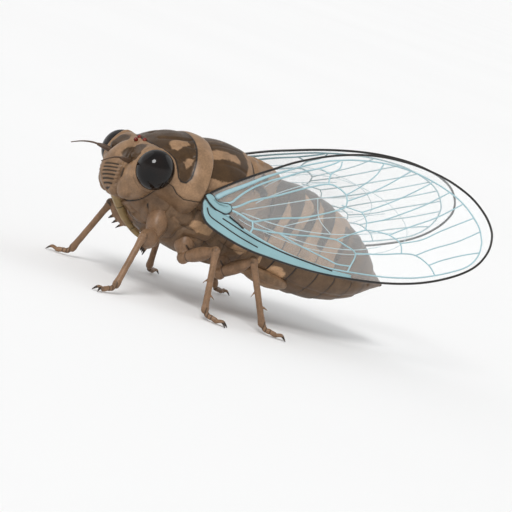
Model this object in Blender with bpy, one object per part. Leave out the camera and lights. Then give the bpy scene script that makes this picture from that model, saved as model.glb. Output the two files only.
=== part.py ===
"""A life-size brown cicada at rest on its six feet, with its clear wings held over its back like a roof.

x runs to the animal's left, y from the head to the wing tips, z up, and the floor is z = 0.
Every size is in millimetres; MM turns it into Blender's metres where a mesh is written.
The torso and the wings are laid out on a level body, in distances behind the face, and then pitched up.
"""

import math

import bmesh
import bpy
import numpy as np
from mathutils import Matrix, Vector
from mathutils.geometry import delaunay_2d_cdt, intersect_point_line

MM = 0.001

# Driving dimensions
BODY_LENGTH = 37.0
FACE_Y = -22.1
BODY_PITCH = math.radians(8.5)
PITCH_ALONG = 18.0
PITCH_HEIGHT = 10.0
BODY_DROP = 1.0
GAP = 0.3
LEFT, RIGHT = 1, -1

# Sides of the round forms
TORSO_SIDES = 28
LIMB_SIDES = 8

# Torso sections: distance behind the face, half width, top, bottom, level of the widest point
PRONOTUM = (
    (3.6, 4.6, 14.6, 9.4, 11.8),
    (5.4, 5.4, 15.9, 8.9, 11.8),
    (7.4, 6.0, 16.6, 8.5, 11.8),
    (9.0, 6.3, 16.85, 8.2, 11.8),
)
COLLAR = (
    (7.4, 6.1, 16.55, 8.4, 11.8),
    (7.8, 6.4, 16.85, 8.1, 11.8),
    (8.9, 6.65, 17.05, 7.8, 11.8),
    (9.2, 6.45, 16.9, 8.1, 11.8),
)
PROSTERNUM = (
    (4.6, 3.3, 13.0, 6.9, 9.5),
    (7.0, 4.2, 13.0, 6.0, 9.3),
    (9.1, 4.7, 13.0, 5.5, 9.2),
)
MESONOTUM = (
    (8.2, 5.5, 16.2, 9.6, 10.9),
    (11.0, 5.85, 17.3, 9.4, 11.0),
    (14.5, 5.6, 17.5, 9.4, 11.0),
    (17.0, 4.7, 17.2, 9.8, 11.3),
    (18.6, 3.5, 17.0, 10.4, 11.8),
    (19.5, 2.2, 16.7, 11.4, 12.5),
)
PLEURON = (
    (7.8, 4.6, 14.0, 5.3, 9.2),
    (11.5, 5.3, 15.0, 4.9, 9.4),
    (16.0, 5.35, 15.2, 5.1, 9.5),
    (20.2, 5.1, 14.4, 5.8, 9.7),
)
ABDOMEN = (
    (18.8, 5.1, 15.9, 6.1, 10.4),
    (21.0, 5.5, 16.6, 5.8, 10.4),
    (24.0, 5.6, 16.8, 5.75, 10.4),
    (27.0, 5.4, 16.35, 5.95, 10.4),
    (30.0, 4.8, 15.4, 6.6, 10.5),
    (33.0, 3.6, 13.85, 8.0, 10.7),
    (35.0, 2.1, 12.2, 9.5, 10.9),
    (BODY_LENGTH, 0.45, 11.2, 10.7, 10.95),
)
SECTION_POWER = 2.15
TERGITE_ENDS = (21.3, 23.7, 26.0, 28.2, 30.3, 32.2, 33.9, 35.2)
TERGITE_LIP = 0.13
TERGITE_STEP = 0.3

# Head: sections across it (half width, distance behind the face, height, half depth, half height)
HEAD_CAPSULE = (
    (0.0, 3.85, 10.95, 1.95, 3.25),
    (2.0, 3.8, 10.95, 1.9, 3.2),
    (3.6, 3.75, 11.25, 1.85, 2.85),
    (4.7, 3.8, 11.7, 1.5, 2.25),
    (5.4, 3.8, 11.9, 0.9, 1.4),
)
# Bulging front of the face: height, half width, reach forward from its root
CLYPEUS = (
    (13.5, 0.7, 1.5),
    (12.9, 1.5, 2.1),
    (12.0, 2.1, 2.65),
    (10.8, 2.4, 3.05),
    (9.7, 2.35, 3.1),
    (8.7, 1.95, 2.7),
    (7.9, 1.4, 1.95),
    (7.4, 0.8, 1.1),
)
CLYPEUS_ROOT = 3.6
CLYPEUS_BACK = 1.2
CLYPEUS_RIDGES = 6
CLYPEUS_RIDGE_HEIGHT = 0.1
EYE_CENTRE = (4.85, 3.8, 11.9)
EYE_RADII = (1.7, 1.92, 2.0)
OCELLUS_RADIUS = 0.32
OCELLI = ((0.0, 2.75, 13.55), (0.8, 3.3, 13.95), (-0.8, 3.3, 13.95))

# Thin parts of the head, each a path of points with a radius
ANTENNA = (
    (2.7, 1.9, 11.5, 0.42),
    (3.0, 1.1, 11.5, 0.36),
    (3.5, 0.1, 11.4, 0.28),
    (4.0, -0.9, 11.0, 0.25),
    (4.4, -1.8, 10.4, 0.12),
)
ROSTRUM = (
    (0.0, 3.2, 8.1, 0.85),
    (0.0, 4.3, 6.7, 0.72),
    (0.0, 5.8, 5.35, 0.54),
    (0.0, 7.7, 4.4, 0.45),
    (0.0, 9.8, 4.0, 0.15),
)

# Legs: points on the pitched body, then points above the floor
LEG_JOINTS = {
    "front_left": ((2.9, 7.4, 8.4), (4.6, 7.4, 5.2), (7.3, 4.3, 6.3), (8.9, 2.4, 1.0), (9.5, 0.9, 0.34)),
    "front_right": ((-2.9, 7.4, 8.4), (-3.8, 9.3, 5.4), (-5.6, 5.6, 7.1), (-7.5, 3.9, 1.0), (-8.3, 2.6, 0.34)),
    "middle_left": ((2.9, 11.2, 7.4), (4.5, 11.5, 4.9), (8.4, 12.2, 7.0), (10.0, 12.4, 1.0), (11.0, 13.6, 0.34)),
    "middle_right": ((-2.9, 11.2, 7.4), (-4.5, 11.7, 4.9), (-8.0, 13.4, 7.0), (-10.0, 14.5, 1.0), (-11.1, 15.6, 0.34)),
    "hind_left": ((2.8, 15.8, 7.4), (4.3, 16.3, 5.0), (7.9, 17.0, 7.0), (9.4, 19.6, 1.0), (10.1, 21.2, 0.34)),
    "hind_right": ((-2.8, 15.8, 7.4), (-4.3, 16.5, 5.0), (-7.4, 19.2, 7.0), (-8.9, 22.3, 1.0), (-9.7, 23.8, 0.34)),
}
COXA_RADII = {"front": 1.15, "middle": 1.1, "hind": 1.05}
FEMUR_RADII = {"front": 1.08, "middle": 0.76, "hind": 0.74}
TROCHANTER_RADIUS = 0.72
KNEE_RADIUS = 0.56
TIBIA_RADII = (0.46, 0.4, 0.44)
TARSUS_RADII = (0.36, 0.34, 0.36)
CLAW_LENGTH = 0.95
CLAW_RADIUS = 0.26
CLAW_SPREAD = math.radians(26.0)
FOOT_SINK = 0.06
FEMUR_SPINES = ((0.34, 0.85), (0.52, 0.7), (0.7, 0.5))
TIBIA_SPINES = (0.45, 0.7)
SPINE_RADIUS = 0.25

# Wings, as shares of the forewing's length: u from root to tip, v from the front edge (low) to the rear edge
WING_ROOT = (6.8, 9.1, 10.8)
WING_TIP = (5.2, 44.6, 20.6)
WING_LEAN = math.radians(60.0)
WING_THICK = 0.5
VEIN_HEIGHT = 0.14
VEIN_WIDTH = 0.62
WING_CAMBER = 0.9
WING_HALF_WIDTH = 8.0
WING_FLAT_ROOT = 14.0
SHEET_STEP = 4.0
FOREWING_OUTLINE = (
    (0.0, -0.01), (0.009, -0.037), (0.031, -0.061), (0.085, -0.09), (0.151, -0.115), (0.218, -0.13),
    (0.321, -0.147), (0.424, -0.158), (0.516, -0.162), (0.599, -0.162), (0.674, -0.157), (0.744, -0.147),
    (0.814, -0.13), (0.886, -0.104), (0.94, -0.072), (0.978, -0.029), (0.994, 0.012), (0.994, 0.045),
    (0.977, 0.087), (0.94, 0.133), (0.891, 0.168), (0.841, 0.192), (0.775, 0.213), (0.71, 0.225),
    (0.634, 0.23), (0.55, 0.224), (0.447, 0.204), (0.337, 0.17), (0.25, 0.134), (0.188, 0.108),
    (0.108, 0.071), (0.045, 0.038), (0.01, 0.012),
)
FOREWING_VEINS = {
    "costal_band": (
        (0.04, -0.016), (0.097, -0.026), (0.134, -0.053), (0.218, -0.09), (0.286, -0.112), (0.355, -0.128),
        (0.42, -0.138), (0.489, -0.142),
    ),
    "ambient_front": (
        (0.489, -0.142), (0.603, -0.144), (0.687, -0.139), (0.743, -0.131), (0.814, -0.114), (0.886, -0.09),
        (0.922, -0.068), (0.946, -0.038), (0.957, -0.003),
    ),
    "ambient_rear": (
        (0.957, -0.003), (0.953, 0.037), (0.935, 0.072), (0.903, 0.112), (0.862, 0.143), (0.805, 0.172),
        (0.734, 0.196), (0.641, 0.209), (0.549, 0.206), (0.487, 0.195), (0.471, 0.186),
    ),
    "claval": (
        (0.06, 0.006), (0.103, 0.012), (0.15, 0.047), (0.191, 0.073), (0.243, 0.097), (0.296, 0.119),
        (0.351, 0.14), (0.412, 0.161), (0.471, 0.186),
    ),
    "claval_tie": ((0.471, 0.186), (0.483, 0.171), (0.448, 0.146), (0.437, 0.116)),
    "cubitus": (
        (0.06, 0.0), (0.115, 0.002), (0.175, 0.029), (0.257, 0.057), (0.362, 0.093), (0.437, 0.116),
        (0.473, 0.105), (0.493, 0.088),
    ),
    "cubitus_tie": ((0.493, 0.088), (0.494, 0.069), (0.485, 0.052), (0.46, 0.036)),
    "media": (
        (0.06, -0.006), (0.106, -0.009), (0.137, -0.018), (0.173, -0.032), (0.22, -0.021), (0.271, -0.011),
        (0.339, -0.001), (0.39, 0.013), (0.46, 0.036),
    ),
    "media_front": (
        (0.166, -0.067), (0.173, -0.032), (0.172, -0.053), (0.226, -0.056), (0.32, -0.055), (0.388, -0.051),
        (0.45, -0.053),
    ),
    "media_fork": ((0.45, -0.053), (0.509, -0.028), (0.549, -0.013)),
    "media_tie": ((0.549, -0.013), (0.556, 0.011), (0.541, 0.038), (0.516, 0.046), (0.485, 0.052)),
    "sector": (
        (0.259, -0.056), (0.303, -0.076), (0.364, -0.096), (0.422, -0.114), (0.489, -0.142),
    ),
    "sector_tie": ((0.45, -0.053), (0.491, -0.071), (0.515, -0.086), (0.498, -0.125), (0.489, -0.142)),
    "sector_rear": (
        (0.515, -0.086), (0.602, -0.079), (0.672, -0.068), (0.721, -0.07), (0.767, -0.093), (0.789, -0.121),
    ),
    "cross_vein": ((0.549, -0.013), (0.579, -0.012), (0.631, -0.019), (0.669, -0.04), (0.672, -0.068)),
    "apical_1": ((0.493, 0.088), (0.545, 0.12), (0.604, 0.164), (0.641, 0.209)),
    "apical_2": ((0.494, 0.069), (0.56, 0.097), (0.635, 0.136), (0.734, 0.196)),
    "apical_3": ((0.541, 0.038), (0.609, 0.068), (0.684, 0.103), (0.805, 0.172)),
    "apical_4": ((0.556, 0.011), (0.623, 0.031), (0.697, 0.06), (0.772, 0.095), (0.862, 0.143)),
    "apical_5": ((0.631, -0.019), (0.711, 0.018), (0.803, 0.057), (0.903, 0.112)),
    "apical_6": ((0.669, -0.04), (0.744, -0.019), (0.818, 0.018), (0.935, 0.072)),
    "apical_7": ((0.721, -0.07), (0.779, -0.043), (0.87, -0.01), (0.953, 0.037)),
    "apical_8": ((0.767, -0.093), (0.814, -0.073), (0.886, -0.05), (0.946, -0.038)),
}
HINDWING_OUTLINE = (
    (0.149, -0.02), (0.243, -0.052), (0.385, -0.08), (0.527, -0.08), (0.64, -0.057),
    (0.707, -0.015), (0.707, 0.038), (0.65, 0.095), (0.565, 0.132), (0.461, 0.151),
    (0.357, 0.142), (0.262, 0.104), (0.187, 0.047), (0.149, 0.02),
)
HINDWING_VEINS = {
    "hind_costa": ((0.158, -0.008), (0.243, -0.038), (0.385, -0.066), (0.527, -0.066), (0.622, -0.045)),
    "hind_radius": ((0.158, 0.0), (0.291, -0.024), (0.451, -0.028), (0.66, 0.0)),
    "hind_media": ((0.291, -0.024), (0.414, 0.014), (0.527, 0.033), (0.641, 0.057)),
    "hind_cubitus": ((0.158, 0.008), (0.291, 0.043), (0.414, 0.076), (0.556, 0.109)),
    "hind_anal": ((0.168, 0.013), (0.262, 0.066), (0.376, 0.113), (0.451, 0.13)),
    "hind_cross": ((0.451, -0.028), (0.414, 0.014), (0.414, 0.076)),
}
HINDWING_INSET = 1.15
FOREWING_LOBES = ((3.3, -0.7, -0.25, 2.2, 1.1, 0.75), (4.6, 0.3, -0.1, 1.7, 0.75, 0.55))
HINDWING_LOBES = ((7.0, 0.2, -1.6, 1.9, 1.0, 0.8),)

# Small plates and ridges of the thorax
CROSS_ARM = 1.75
CROSS_RADIUS = 0.42
CROSS_CENTRE = (0.0, 18.1, 17.0)
CROSS_ANGLE = math.radians(32.0)
OPERCULUM_CENTRE = (2.5, 22.0, 6.5)
OPERCULUM_RADII = (2.3, 3.0, 1.3)

COLOURS = {
    "cuticle": (0.28, 0.17, 0.1, 0.42, 0.0),
    "cuticle_dark": (0.09, 0.055, 0.035, 0.38, 0.0),
    "leg": (0.24, 0.14, 0.085, 0.42, 0.0),
    "eye": (0.006, 0.005, 0.005, 0.08, 0.0),
    "beak": (0.42, 0.3, 0.14, 0.4, 0.0),
    "wing": (0.62, 0.78, 0.8, 0.2, 0.0),
}


def clear_scene():
    for obj in list(bpy.data.objects):
        bpy.data.objects.remove(obj)


def body_point(x, along, height):
    """A point of the level body, pitched up about its middle."""
    forward, rise = along - PITCH_ALONG, height - PITCH_HEIGHT
    c, s = math.cos(BODY_PITCH), math.sin(BODY_PITCH)
    return Vector((
        x * MM,
        (FACE_Y + PITCH_ALONG + forward * c + rise * s) * MM,
        (PITCH_HEIGHT - BODY_DROP - forward * s + rise * c) * MM,
    ))


def floor_point(x, along, height):
    """A point that stands over the floor, whatever the body's pitch."""
    return Vector((x * MM, (FACE_Y + along) * MM, height * MM))


def material(name):
    """One Principled material for each slot, made once."""
    if name in bpy.data.materials:
        return bpy.data.materials[name]
    made = bpy.data.materials.new(name)
    made.use_nodes = True
    red, green, blue, roughness, metallic = COLOURS[name]
    shader = made.node_tree.nodes["Principled BSDF"]
    shader.inputs["Base Color"].default_value = (red, green, blue, 1.0)
    shader.inputs["Roughness"].default_value = roughness
    shader.inputs["Metallic"].default_value = metallic
    made.diffuse_color = (red, green, blue, 1.0)
    return made


def mesh_object(name, vertices, faces):
    mesh = bpy.data.meshes.new(name)
    mesh.from_pydata([tuple(v) for v in vertices], [], faces)
    obj = bpy.data.objects.new(name, mesh)
    bpy.context.scene.collection.objects.link(obj)
    edit = bmesh.new()
    edit.from_mesh(mesh)
    bmesh.ops.triangulate(edit, faces=[f for f in edit.faces if len(f.verts) > 4])
    bmesh.ops.recalc_face_normals(edit, faces=edit.faces)
    if edit.calc_volume(signed=True) < 0:
        bmesh.ops.reverse_faces(edit, faces=edit.faces)
    edit.to_mesh(mesh)
    edit.free()
    return obj


def skin(name, rings):
    """A closed body through rings of points, capped at both ends."""
    sides = len(rings[0])
    vertices = [point for ring in rings for point in ring]
    faces = [tuple(range(sides)), tuple(range((len(rings) - 1) * sides, len(rings) * sides))]
    for r in range(len(rings) - 1):
        for s in range(sides):
            a, b = r * sides + s, r * sides + (s + 1) % sides
            faces.append((a, b, b + sides, a + sides))
    return mesh_object(name, vertices, faces)


def rows_at(stations, places):
    """The stations' columns at the given places of the first one, on a smooth curve through them."""
    table = np.array(stations, float)
    start, values = table[:, 0], table[:, 1:]
    slopes = np.gradient(values, start, axis=0)
    rows = []
    for place in places:
        i = int(np.clip(np.searchsorted(start, place) - 1, 0, len(start) - 2))
        span = start[i + 1] - start[i]
        s = (place - start[i]) / span
        rows.append(
            (1 + 2 * s) * (1 - s) ** 2 * values[i]
            + s * (1 - s) ** 2 * span * slopes[i]
            + s * s * (3 - 2 * s) * values[i + 1]
            + s * s * (s - 1) * span * slopes[i + 1]
        )
    return rows


def section(along, width, top, bottom, level, grow):
    """One cross-section of the torso: two half superellipses that meet at their widest level."""
    ring = []
    for i in range(TORSO_SIDES):
        angle = 2 * math.pi * i / TORSO_SIDES
        c, s = math.cos(angle), math.sin(angle)
        rise = (top - level if s >= 0 else level - bottom) + grow
        across = math.copysign(abs(c) ** (2 / SECTION_POWER), c) * (width + grow)
        up = math.copysign(abs(s) ** (2 / SECTION_POWER), s) * rise
        ring.append(body_point(across, along, level + up))
    return ring


def torso(name, stations, steps, grow=0.0):
    """A part of the torso through its stations, made larger all round by grow."""
    first, last = stations[0][0], stations[-1][0]
    places = np.linspace(first, last, steps)
    rings = []
    for place, row in zip(places, rows_at(stations, places)):
        shift = grow if place == last else -grow if place == first else 0.0
        rings.append(section(place + shift, *row, grow))
    return skin(name, rings)


def pronotum_shell(grow=0.0):
    return torso("pronotum_shell", PRONOTUM, 6, grow)


def collar_band(grow=0.0):
    return torso("collar_band", COLLAR, 4, grow)


def prosternum_core(grow=0.0):
    return torso("prosternum_core", PROSTERNUM, 4, grow)


def mesonotum_shell(grow=0.0):
    return torso("mesonotum_shell", MESONOTUM, 9, grow)


def pleuron_core(grow=0.0):
    return torso("pleuron_core", PLEURON, 5, grow)


def abdomen_body(grow=0.0):
    """The abdomen, whose segments each end in a small lip over the next."""
    places, lips = [ABDOMEN[0][0]], [0.0]
    for end in TERGITE_ENDS:
        places += [end, end + TERGITE_STEP]
        lips += [TERGITE_LIP, -TERGITE_LIP * 0.5]
    places.append(BODY_LENGTH)
    lips.append(0.0)
    rings = []
    for place, lip, row in zip(places, lips, rows_at(ABDOMEN, places)):
        shift = grow if place == BODY_LENGTH else -grow if place == places[0] else 0.0
        rings.append(section(place + shift, *row, grow + lip))
    return skin("abdomen_body", rings)


def head_capsule(grow=0.0):
    """The broad head between the eyes, as ellipses across it."""
    widest = HEAD_CAPSULE[-1][0]
    places = np.linspace(-widest, widest, 13)
    rings = []
    for x, row in zip(places, rows_at(HEAD_CAPSULE, abs(places))):
        along, height, depth, tall = row
        shift = grow if x == widest else -grow if x == -widest else 0.0
        ring = []
        for i in range(20):
            angle = 2 * math.pi * i / 20
            ring.append(body_point(
                x + shift,
                along + (depth + grow) * math.cos(angle),
                height + (tall + grow) * math.sin(angle),
            ))
        rings.append(ring)
    return skin("head_capsule", rings)


def clypeus_bulge(grow=0.0):
    """The swollen face, with a row of ridges down each side that leaves the middle smooth."""
    top, bottom = CLYPEUS[0][0], CLYPEUS[-1][0]
    places = np.linspace(bottom, top, 2 * CLYPEUS_RIDGES + 1)
    ordered = sorted(CLYPEUS)
    rings = []
    for n, (height, row) in enumerate(zip(places, rows_at(ordered, places))):
        half_width, reach = row
        swell = 1 if n % 2 else -1
        shift = grow if n == len(places) - 1 else -grow if n == 0 else 0.0
        ring = []
        for i in range(20):
            angle = 2 * math.pi * i / 20
            c, s = math.cos(angle), math.sin(angle)
            ridge = swell * CLYPEUS_RIDGE_HEIGHT * s * s if c > 0 else 0.0
            depth = (reach if c > 0 else CLYPEUS_BACK) + grow + ridge
            ring.append(body_point(
                (half_width + grow + ridge) * s, CLYPEUS_ROOT - depth * c, height + shift
            ))
        rings.append(ring)
    return skin("clypeus_bulge", rings)


def ellipsoid(name, centre, radii, segments, rings, grow=0.0):
    """A round form on the pitched body."""
    stack = []
    for r in range(1, rings):
        polar = math.pi * r / rings
        ring = []
        for s in range(segments):
            turn = 2 * math.pi * s / segments
            ring.append(body_point(
                centre[0] + (radii[0] + grow) * math.cos(polar),
                centre[1] + (radii[1] + grow) * math.sin(polar) * math.cos(turn),
                centre[2] + (radii[2] + grow) * math.sin(polar) * math.sin(turn),
            ))
        stack.append(ring)
    poles = [
        body_point(centre[0] + side * (radii[0] + grow), centre[1], centre[2]) for side in (1, -1)
    ]
    vertices = [p for ring in stack for p in ring] + poles
    north, south = len(vertices) - 2, len(vertices) - 1
    faces = []
    for r in range(len(stack) - 1):
        for s in range(segments):
            a, b = r * segments + s, r * segments + (s + 1) % segments
            faces.append((a, b, b + segments, a + segments))
    last = (len(stack) - 1) * segments
    for s in range(segments):
        following = (s + 1) % segments
        faces.append((following, s, north))
        faces.append((last + s, last + following, south))
    return mesh_object(name, vertices, faces)


def eye_ball(side, grow=0.0):
    centre = (side * EYE_CENTRE[0], EYE_CENTRE[1], EYE_CENTRE[2])
    return ellipsoid("eye_ball", centre, EYE_RADII, 16, 10, grow)


def tube(name, points, radii, sides, grow=0.0):
    """A round limb along points, with blunt rounded ends. Points are in metres and radii in millimetres."""
    points = [Vector(p) for p in points]
    start = (points[0] - points[1]).normalized()
    end = (points[-1] - points[-2]).normalized()
    blunt = 0.6
    path = [points[0] + start * (radii[0] * blunt + grow) * MM] + points
    path.append(points[-1] + end * (radii[-1] * blunt + grow) * MM)
    sizes = [radii[0] * blunt, *radii, radii[-1] * blunt]
    across = start.orthogonal()
    rings = []
    for i, (point, size) in enumerate(zip(path, sizes)):
        before, after = path[max(i - 1, 0)], path[min(i + 1, len(path) - 1)]
        tangent = (after - before).normalized()
        across = (across - across.project(tangent)).normalized()
        other = tangent.cross(across)
        radius = (size + grow) * MM
        rings.append([
            point
            + radius * math.cos(2 * math.pi * s / sides) * across
            + radius * math.sin(2 * math.pi * s / sides) * other
            for s in range(sides)
        ])
    return skin(name, rings)


def path_tube(name, rows, sides, side=LEFT, grow=0.0):
    """A tube through rows of x, distance, height and radius on the body, mirrored for the right side."""
    points = [body_point(side * x, along, height) for x, along, height, _ in rows]
    return tube(name, points, [row[3] for row in rows], sides, grow)


def antenna_rod(side, grow=0.0):
    return path_tube("antenna_rod", ANTENNA, 6, side, grow)


def rostrum_rod(grow=0.0):
    return path_tube("rostrum_rod", ROSTRUM, LIMB_SIDES, LEFT, grow)


def boolean(base, others, operation):
    """Applies one Boolean of a collection of closed meshes to base, and removes the collection."""
    helpers = bpy.data.collections.new("helpers")
    bpy.context.scene.collection.children.link(helpers)
    for other in others:
        bpy.context.scene.collection.objects.unlink(other)
        helpers.objects.link(other)
    modifier = base.modifiers.new(operation.lower(), "BOOLEAN")
    modifier.operation = operation
    modifier.operand_type = "COLLECTION"
    modifier.collection = helpers
    modifier.solver = "EXACT"
    bpy.context.view_layer.update()
    graph = bpy.context.evaluated_depsgraph_get()
    mesh = bpy.data.meshes.new_from_object(base.evaluated_get(graph))
    base.modifiers.clear()
    base.data = mesh
    for other in others:
        bpy.data.objects.remove(other)
    bpy.data.collections.remove(helpers)


def keep_largest(obj):
    """Drops every closed surface of the object but the one with the most volume."""
    edit = bmesh.new()
    edit.from_mesh(obj.data)
    unseen = set(edit.faces)
    shells = []
    while unseen:
        todo = [unseen.pop()]
        shell = list(todo)
        while todo:
            face = todo.pop()
            for edge in face.edges:
                for near in edge.link_faces:
                    if near in unseen:
                        unseen.remove(near)
                        shell.append(near)
                        todo.append(near)
        shells.append(shell)
    shells.sort(key=shell_volume)
    for shell in shells[:-1]:
        bmesh.ops.delete(edit, geom=shell, context="FACES")
    bmesh.ops.triangulate(edit, faces=edit.faces)
    edit.to_mesh(obj.data)
    edit.free()


def shell_volume(faces):
    total = 0.0
    for face in faces:
        corners = [v.co for v in face.verts]
        for i in range(1, len(corners) - 1):
            total += corners[0].dot(corners[i].cross(corners[i + 1])) / 6
    return abs(total)


def listed(made):
    return made if isinstance(made, list) else [made]


def node(name, pieces, clear_of, slot, smooth_angle=40.0):
    """One named solid: its pieces fused, then cut clear of the grown copies of its neighbours."""
    base, rest = pieces[0], pieces[1:]
    if rest:
        boolean(base, rest, "UNION")
    if clear_of:
        boolean(base, [cutter for grown in clear_of for cutter in listed(grown(GAP))], "DIFFERENCE")
    keep_largest(base)
    base.name = name
    base.data.name = name
    base.data.materials.clear()
    base.data.materials.append(material(slot))
    base.data.shade_smooth()
    base.data.set_sharp_from_angle(angle=math.radians(smooth_angle))
    return base


def make_head():
    for side, word in ((LEFT, "left"), (RIGHT, "right")):
        node(f"eye_{word}", [eye_ball(side)], [], "eye")
    eyes = [lambda grow, side=side: eye_ball(side, grow) for side in (LEFT, RIGHT)]
    ocelli = [
        ellipsoid("ocellus", centre, [OCELLUS_RADIUS] * 3, 6, 5) for centre in OCELLI
    ]
    node("head", [head_capsule(), clypeus_bulge(), *ocelli], eyes, "cuticle")
    for side, word in ((LEFT, "left"), (RIGHT, "right")):
        near = [head_capsule, clypeus_bulge, eyes[0], eyes[1]]
        node(f"antenna_{word}", [antenna_rod(side)], near, "cuticle_dark")
    node("rostrum", [rostrum_rod()], [head_capsule, clypeus_bulge, prosternum_core], "beak")


def cross_ridge():
    """The raised X at the rear of the thorax's back, as two crossing bars."""
    x, along, height = CROSS_CENTRE
    bars = []
    for turn in (CROSS_ANGLE, -CROSS_ANGLE):
        dx, da = CROSS_ARM * math.sin(turn), CROSS_ARM * math.cos(turn)
        ends = [body_point(x - dx, along - da, height + 0.15), body_point(x, along, height + 0.1)]
        ends.append(body_point(x + dx, along + da, height - 0.75))
        bars.append(tube("cross_bar", ends, [CROSS_RADIUS] * 3, 6))
    return bars


def make_torso():
    head = [head_capsule, clypeus_bulge]
    eyes = [lambda grow, side=side: eye_ball(side, grow) for side in (LEFT, RIGHT)]
    prothorax = [pronotum_shell(), collar_band(), prosternum_core()]
    node("prothorax", prothorax, head + eyes, "cuticle")
    front = [pronotum_shell, collar_band, prosternum_core]
    node("mesothorax", [mesonotum_shell(), pleuron_core(), *cross_ridge()], front, "cuticle_dark")
    middle = [mesonotum_shell, pleuron_core, cross_cutter]
    node("abdomen", [abdomen_body()], middle, "cuticle")
    for side, word in ((LEFT, "left"), (RIGHT, "right")):
        centre = (side * OPERCULUM_CENTRE[0], OPERCULUM_CENTRE[1], OPERCULUM_CENTRE[2])
        plate = ellipsoid("plate", centre, OPERCULUM_RADII, 12, 8)
        node(f"operculum_{word}", [plate], [pleuron_core, abdomen_body], "cuticle")


def cross_cutter(grow):
    """A low box round the raised X, which keeps the abdomen's front edge clear of it."""
    x, along, height = CROSS_CENTRE
    return ellipsoid("cross_cutter", (x, along + 0.4, height - 0.6), (1.7, 2.3, 1.1), 12, 8, grow)


def spine(name, root, tip, radius, grow=0.0):
    """A pointed spine of few sides, whose root is sunk in what carries it."""
    axis = (tip - root).normalized()
    root, tip, radius = root - axis * grow * MM, tip + axis * grow * MM, radius + grow
    across = axis.orthogonal().normalized()
    other = axis.cross(across)
    ring = [
        root + radius * MM * (math.cos(a) * across + math.sin(a) * other)
        for a in (2 * math.pi * s / 5 for s in range(5))
    ]
    faces = [tuple(range(5))] + [(s, (s + 1) % 5, 5) for s in range(5)]
    return mesh_object(name, [*ring, tip], faces)


def leg_points(name):
    joints = LEG_JOINTS[name]
    hip, trochanter = (body_point(*p) for p in joints[:2])
    knee, heel, toe = (floor_point(*p) for p in joints[2:])
    return hip, trochanter, knee, heel, toe


def upper_leg(name, grow=0.0):
    """Coxa, trochanter and femur, as tubes that overlap at their joints."""
    hip, trochanter, knee, _, _ = leg_points(name)
    pair = name.split("_")[0]
    coxa, thigh = COXA_RADII[pair], FEMUR_RADII[pair]
    coxa_tube = tube(
        "coxa",
        [hip, hip.lerp(trochanter, 0.55), trochanter],
        [coxa * 0.9, coxa, TROCHANTER_RADIUS],
        LIMB_SIDES,
        grow,
    )
    femur_tube = tube(
        "femur",
        [trochanter.lerp(knee, share) for share in (0.0, 0.25, 0.5, 0.78, 1.0)],
        [TROCHANTER_RADIUS * 0.9, thigh * 0.92, thigh, thigh * 0.78, KNEE_RADIUS],
        LIMB_SIDES,
        grow,
    )
    return [coxa_tube, femur_tube]


def femur_spines(name, grow=0.0):
    """The stout spines below a front femur, shorter towards the knee."""
    _, trochanter, knee, _, _ = leg_points(name)
    axis = (knee - trochanter).normalized()
    down = Vector((0, 0, -1))
    down = (down - down.project(axis)).normalized()
    spines = []
    for share, length in FEMUR_SPINES:
        root = trochanter.lerp(knee, share) + down * FEMUR_RADII["front"] * 0.55 * MM
        reach = FEMUR_RADII["front"] * 0.45 + length
        tip = root + (down + axis * 0.45).normalized() * reach * MM
        spines.append(spine("femur_spine", root, tip, SPINE_RADIUS * 1.2, grow))
    return spines


def lower_leg(name):
    """Tibia, tarsus and the two claws, with the foot's underside flat on the floor."""
    _, _, knee, heel, toe = leg_points(name)
    shin = tube(
        "shin",
        [knee.lerp(heel, share) for share in (0.0, 0.3, 0.7, 1.0)],
        [TIBIA_RADII[0], TIBIA_RADII[1], TIBIA_RADII[1], TIBIA_RADII[2]],
        LIMB_SIDES,
    )
    start = heel.copy()
    foot = tube(
        "foot",
        [start, start.lerp(toe, 0.25) - Vector((0, 0, 0.28 * MM)), start.lerp(toe, 0.6), toe],
        [TIBIA_RADII[2] * 0.9, TARSUS_RADII[0], TARSUS_RADII[1], TARSUS_RADII[2]],
        LIMB_SIDES,
    )
    pieces = [shin, foot]
    forward = toe - heel
    forward.z = 0
    forward.normalize()
    sideways = Vector((0, 0, 1)).cross(forward)
    for turn in (LEFT, RIGHT):
        way = forward * math.cos(CLAW_SPREAD) + sideways * turn * math.sin(CLAW_SPREAD)
        middle = toe + (forward * 0.25 + way * 0.45) * CLAW_LENGTH * MM + Vector((0, 0, 0.14 * MM))
        tip = toe + (forward * 0.3 + way) * CLAW_LENGTH * MM
        tip.z = 0.12 * MM
        pieces.append(tube("claw", [toe, middle, tip], [CLAW_RADIUS, CLAW_RADIUS, 0.1], 6))
    if not name.startswith("front"):
        outward = (heel - knee).cross(sideways).normalized()
        for n, share in enumerate(TIBIA_SPINES):
            root = knee.lerp(heel, share)
            way = (outward * (1 if n % 2 else -1) + (heel - knee).normalized() * 0.9).normalized()
            pieces.append(spine("shin_spine", root, root + way * 1.15 * MM, SPINE_RADIUS))
    return pieces


def flatten_foot(obj):
    """Sets the underside that sinks a little below the floor flat on it."""
    for vertex in obj.data.vertices:
        if vertex.co.z < FOOT_SINK * MM:
            vertex.co.z = 0.0


def whole_upper_leg(name, grow=0.0):
    """The upper leg with the spines that a front one carries."""
    return upper_leg(name, grow) + (femur_spines(name, grow) if name.startswith("front") else [])


def make_legs():
    torso_near = [prosternum_core, pleuron_core, pronotum_shell, collar_band, head_capsule]
    for name in LEG_JOINTS:
        node(f"{name}_upper_leg", whole_upper_leg(name), torso_near, "leg")
        knee = [lambda grow, name=name: whole_upper_leg(name, grow)]
        flatten_foot(node(f"{name}_lower_leg", lower_leg(name), knee, "leg"))


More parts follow.
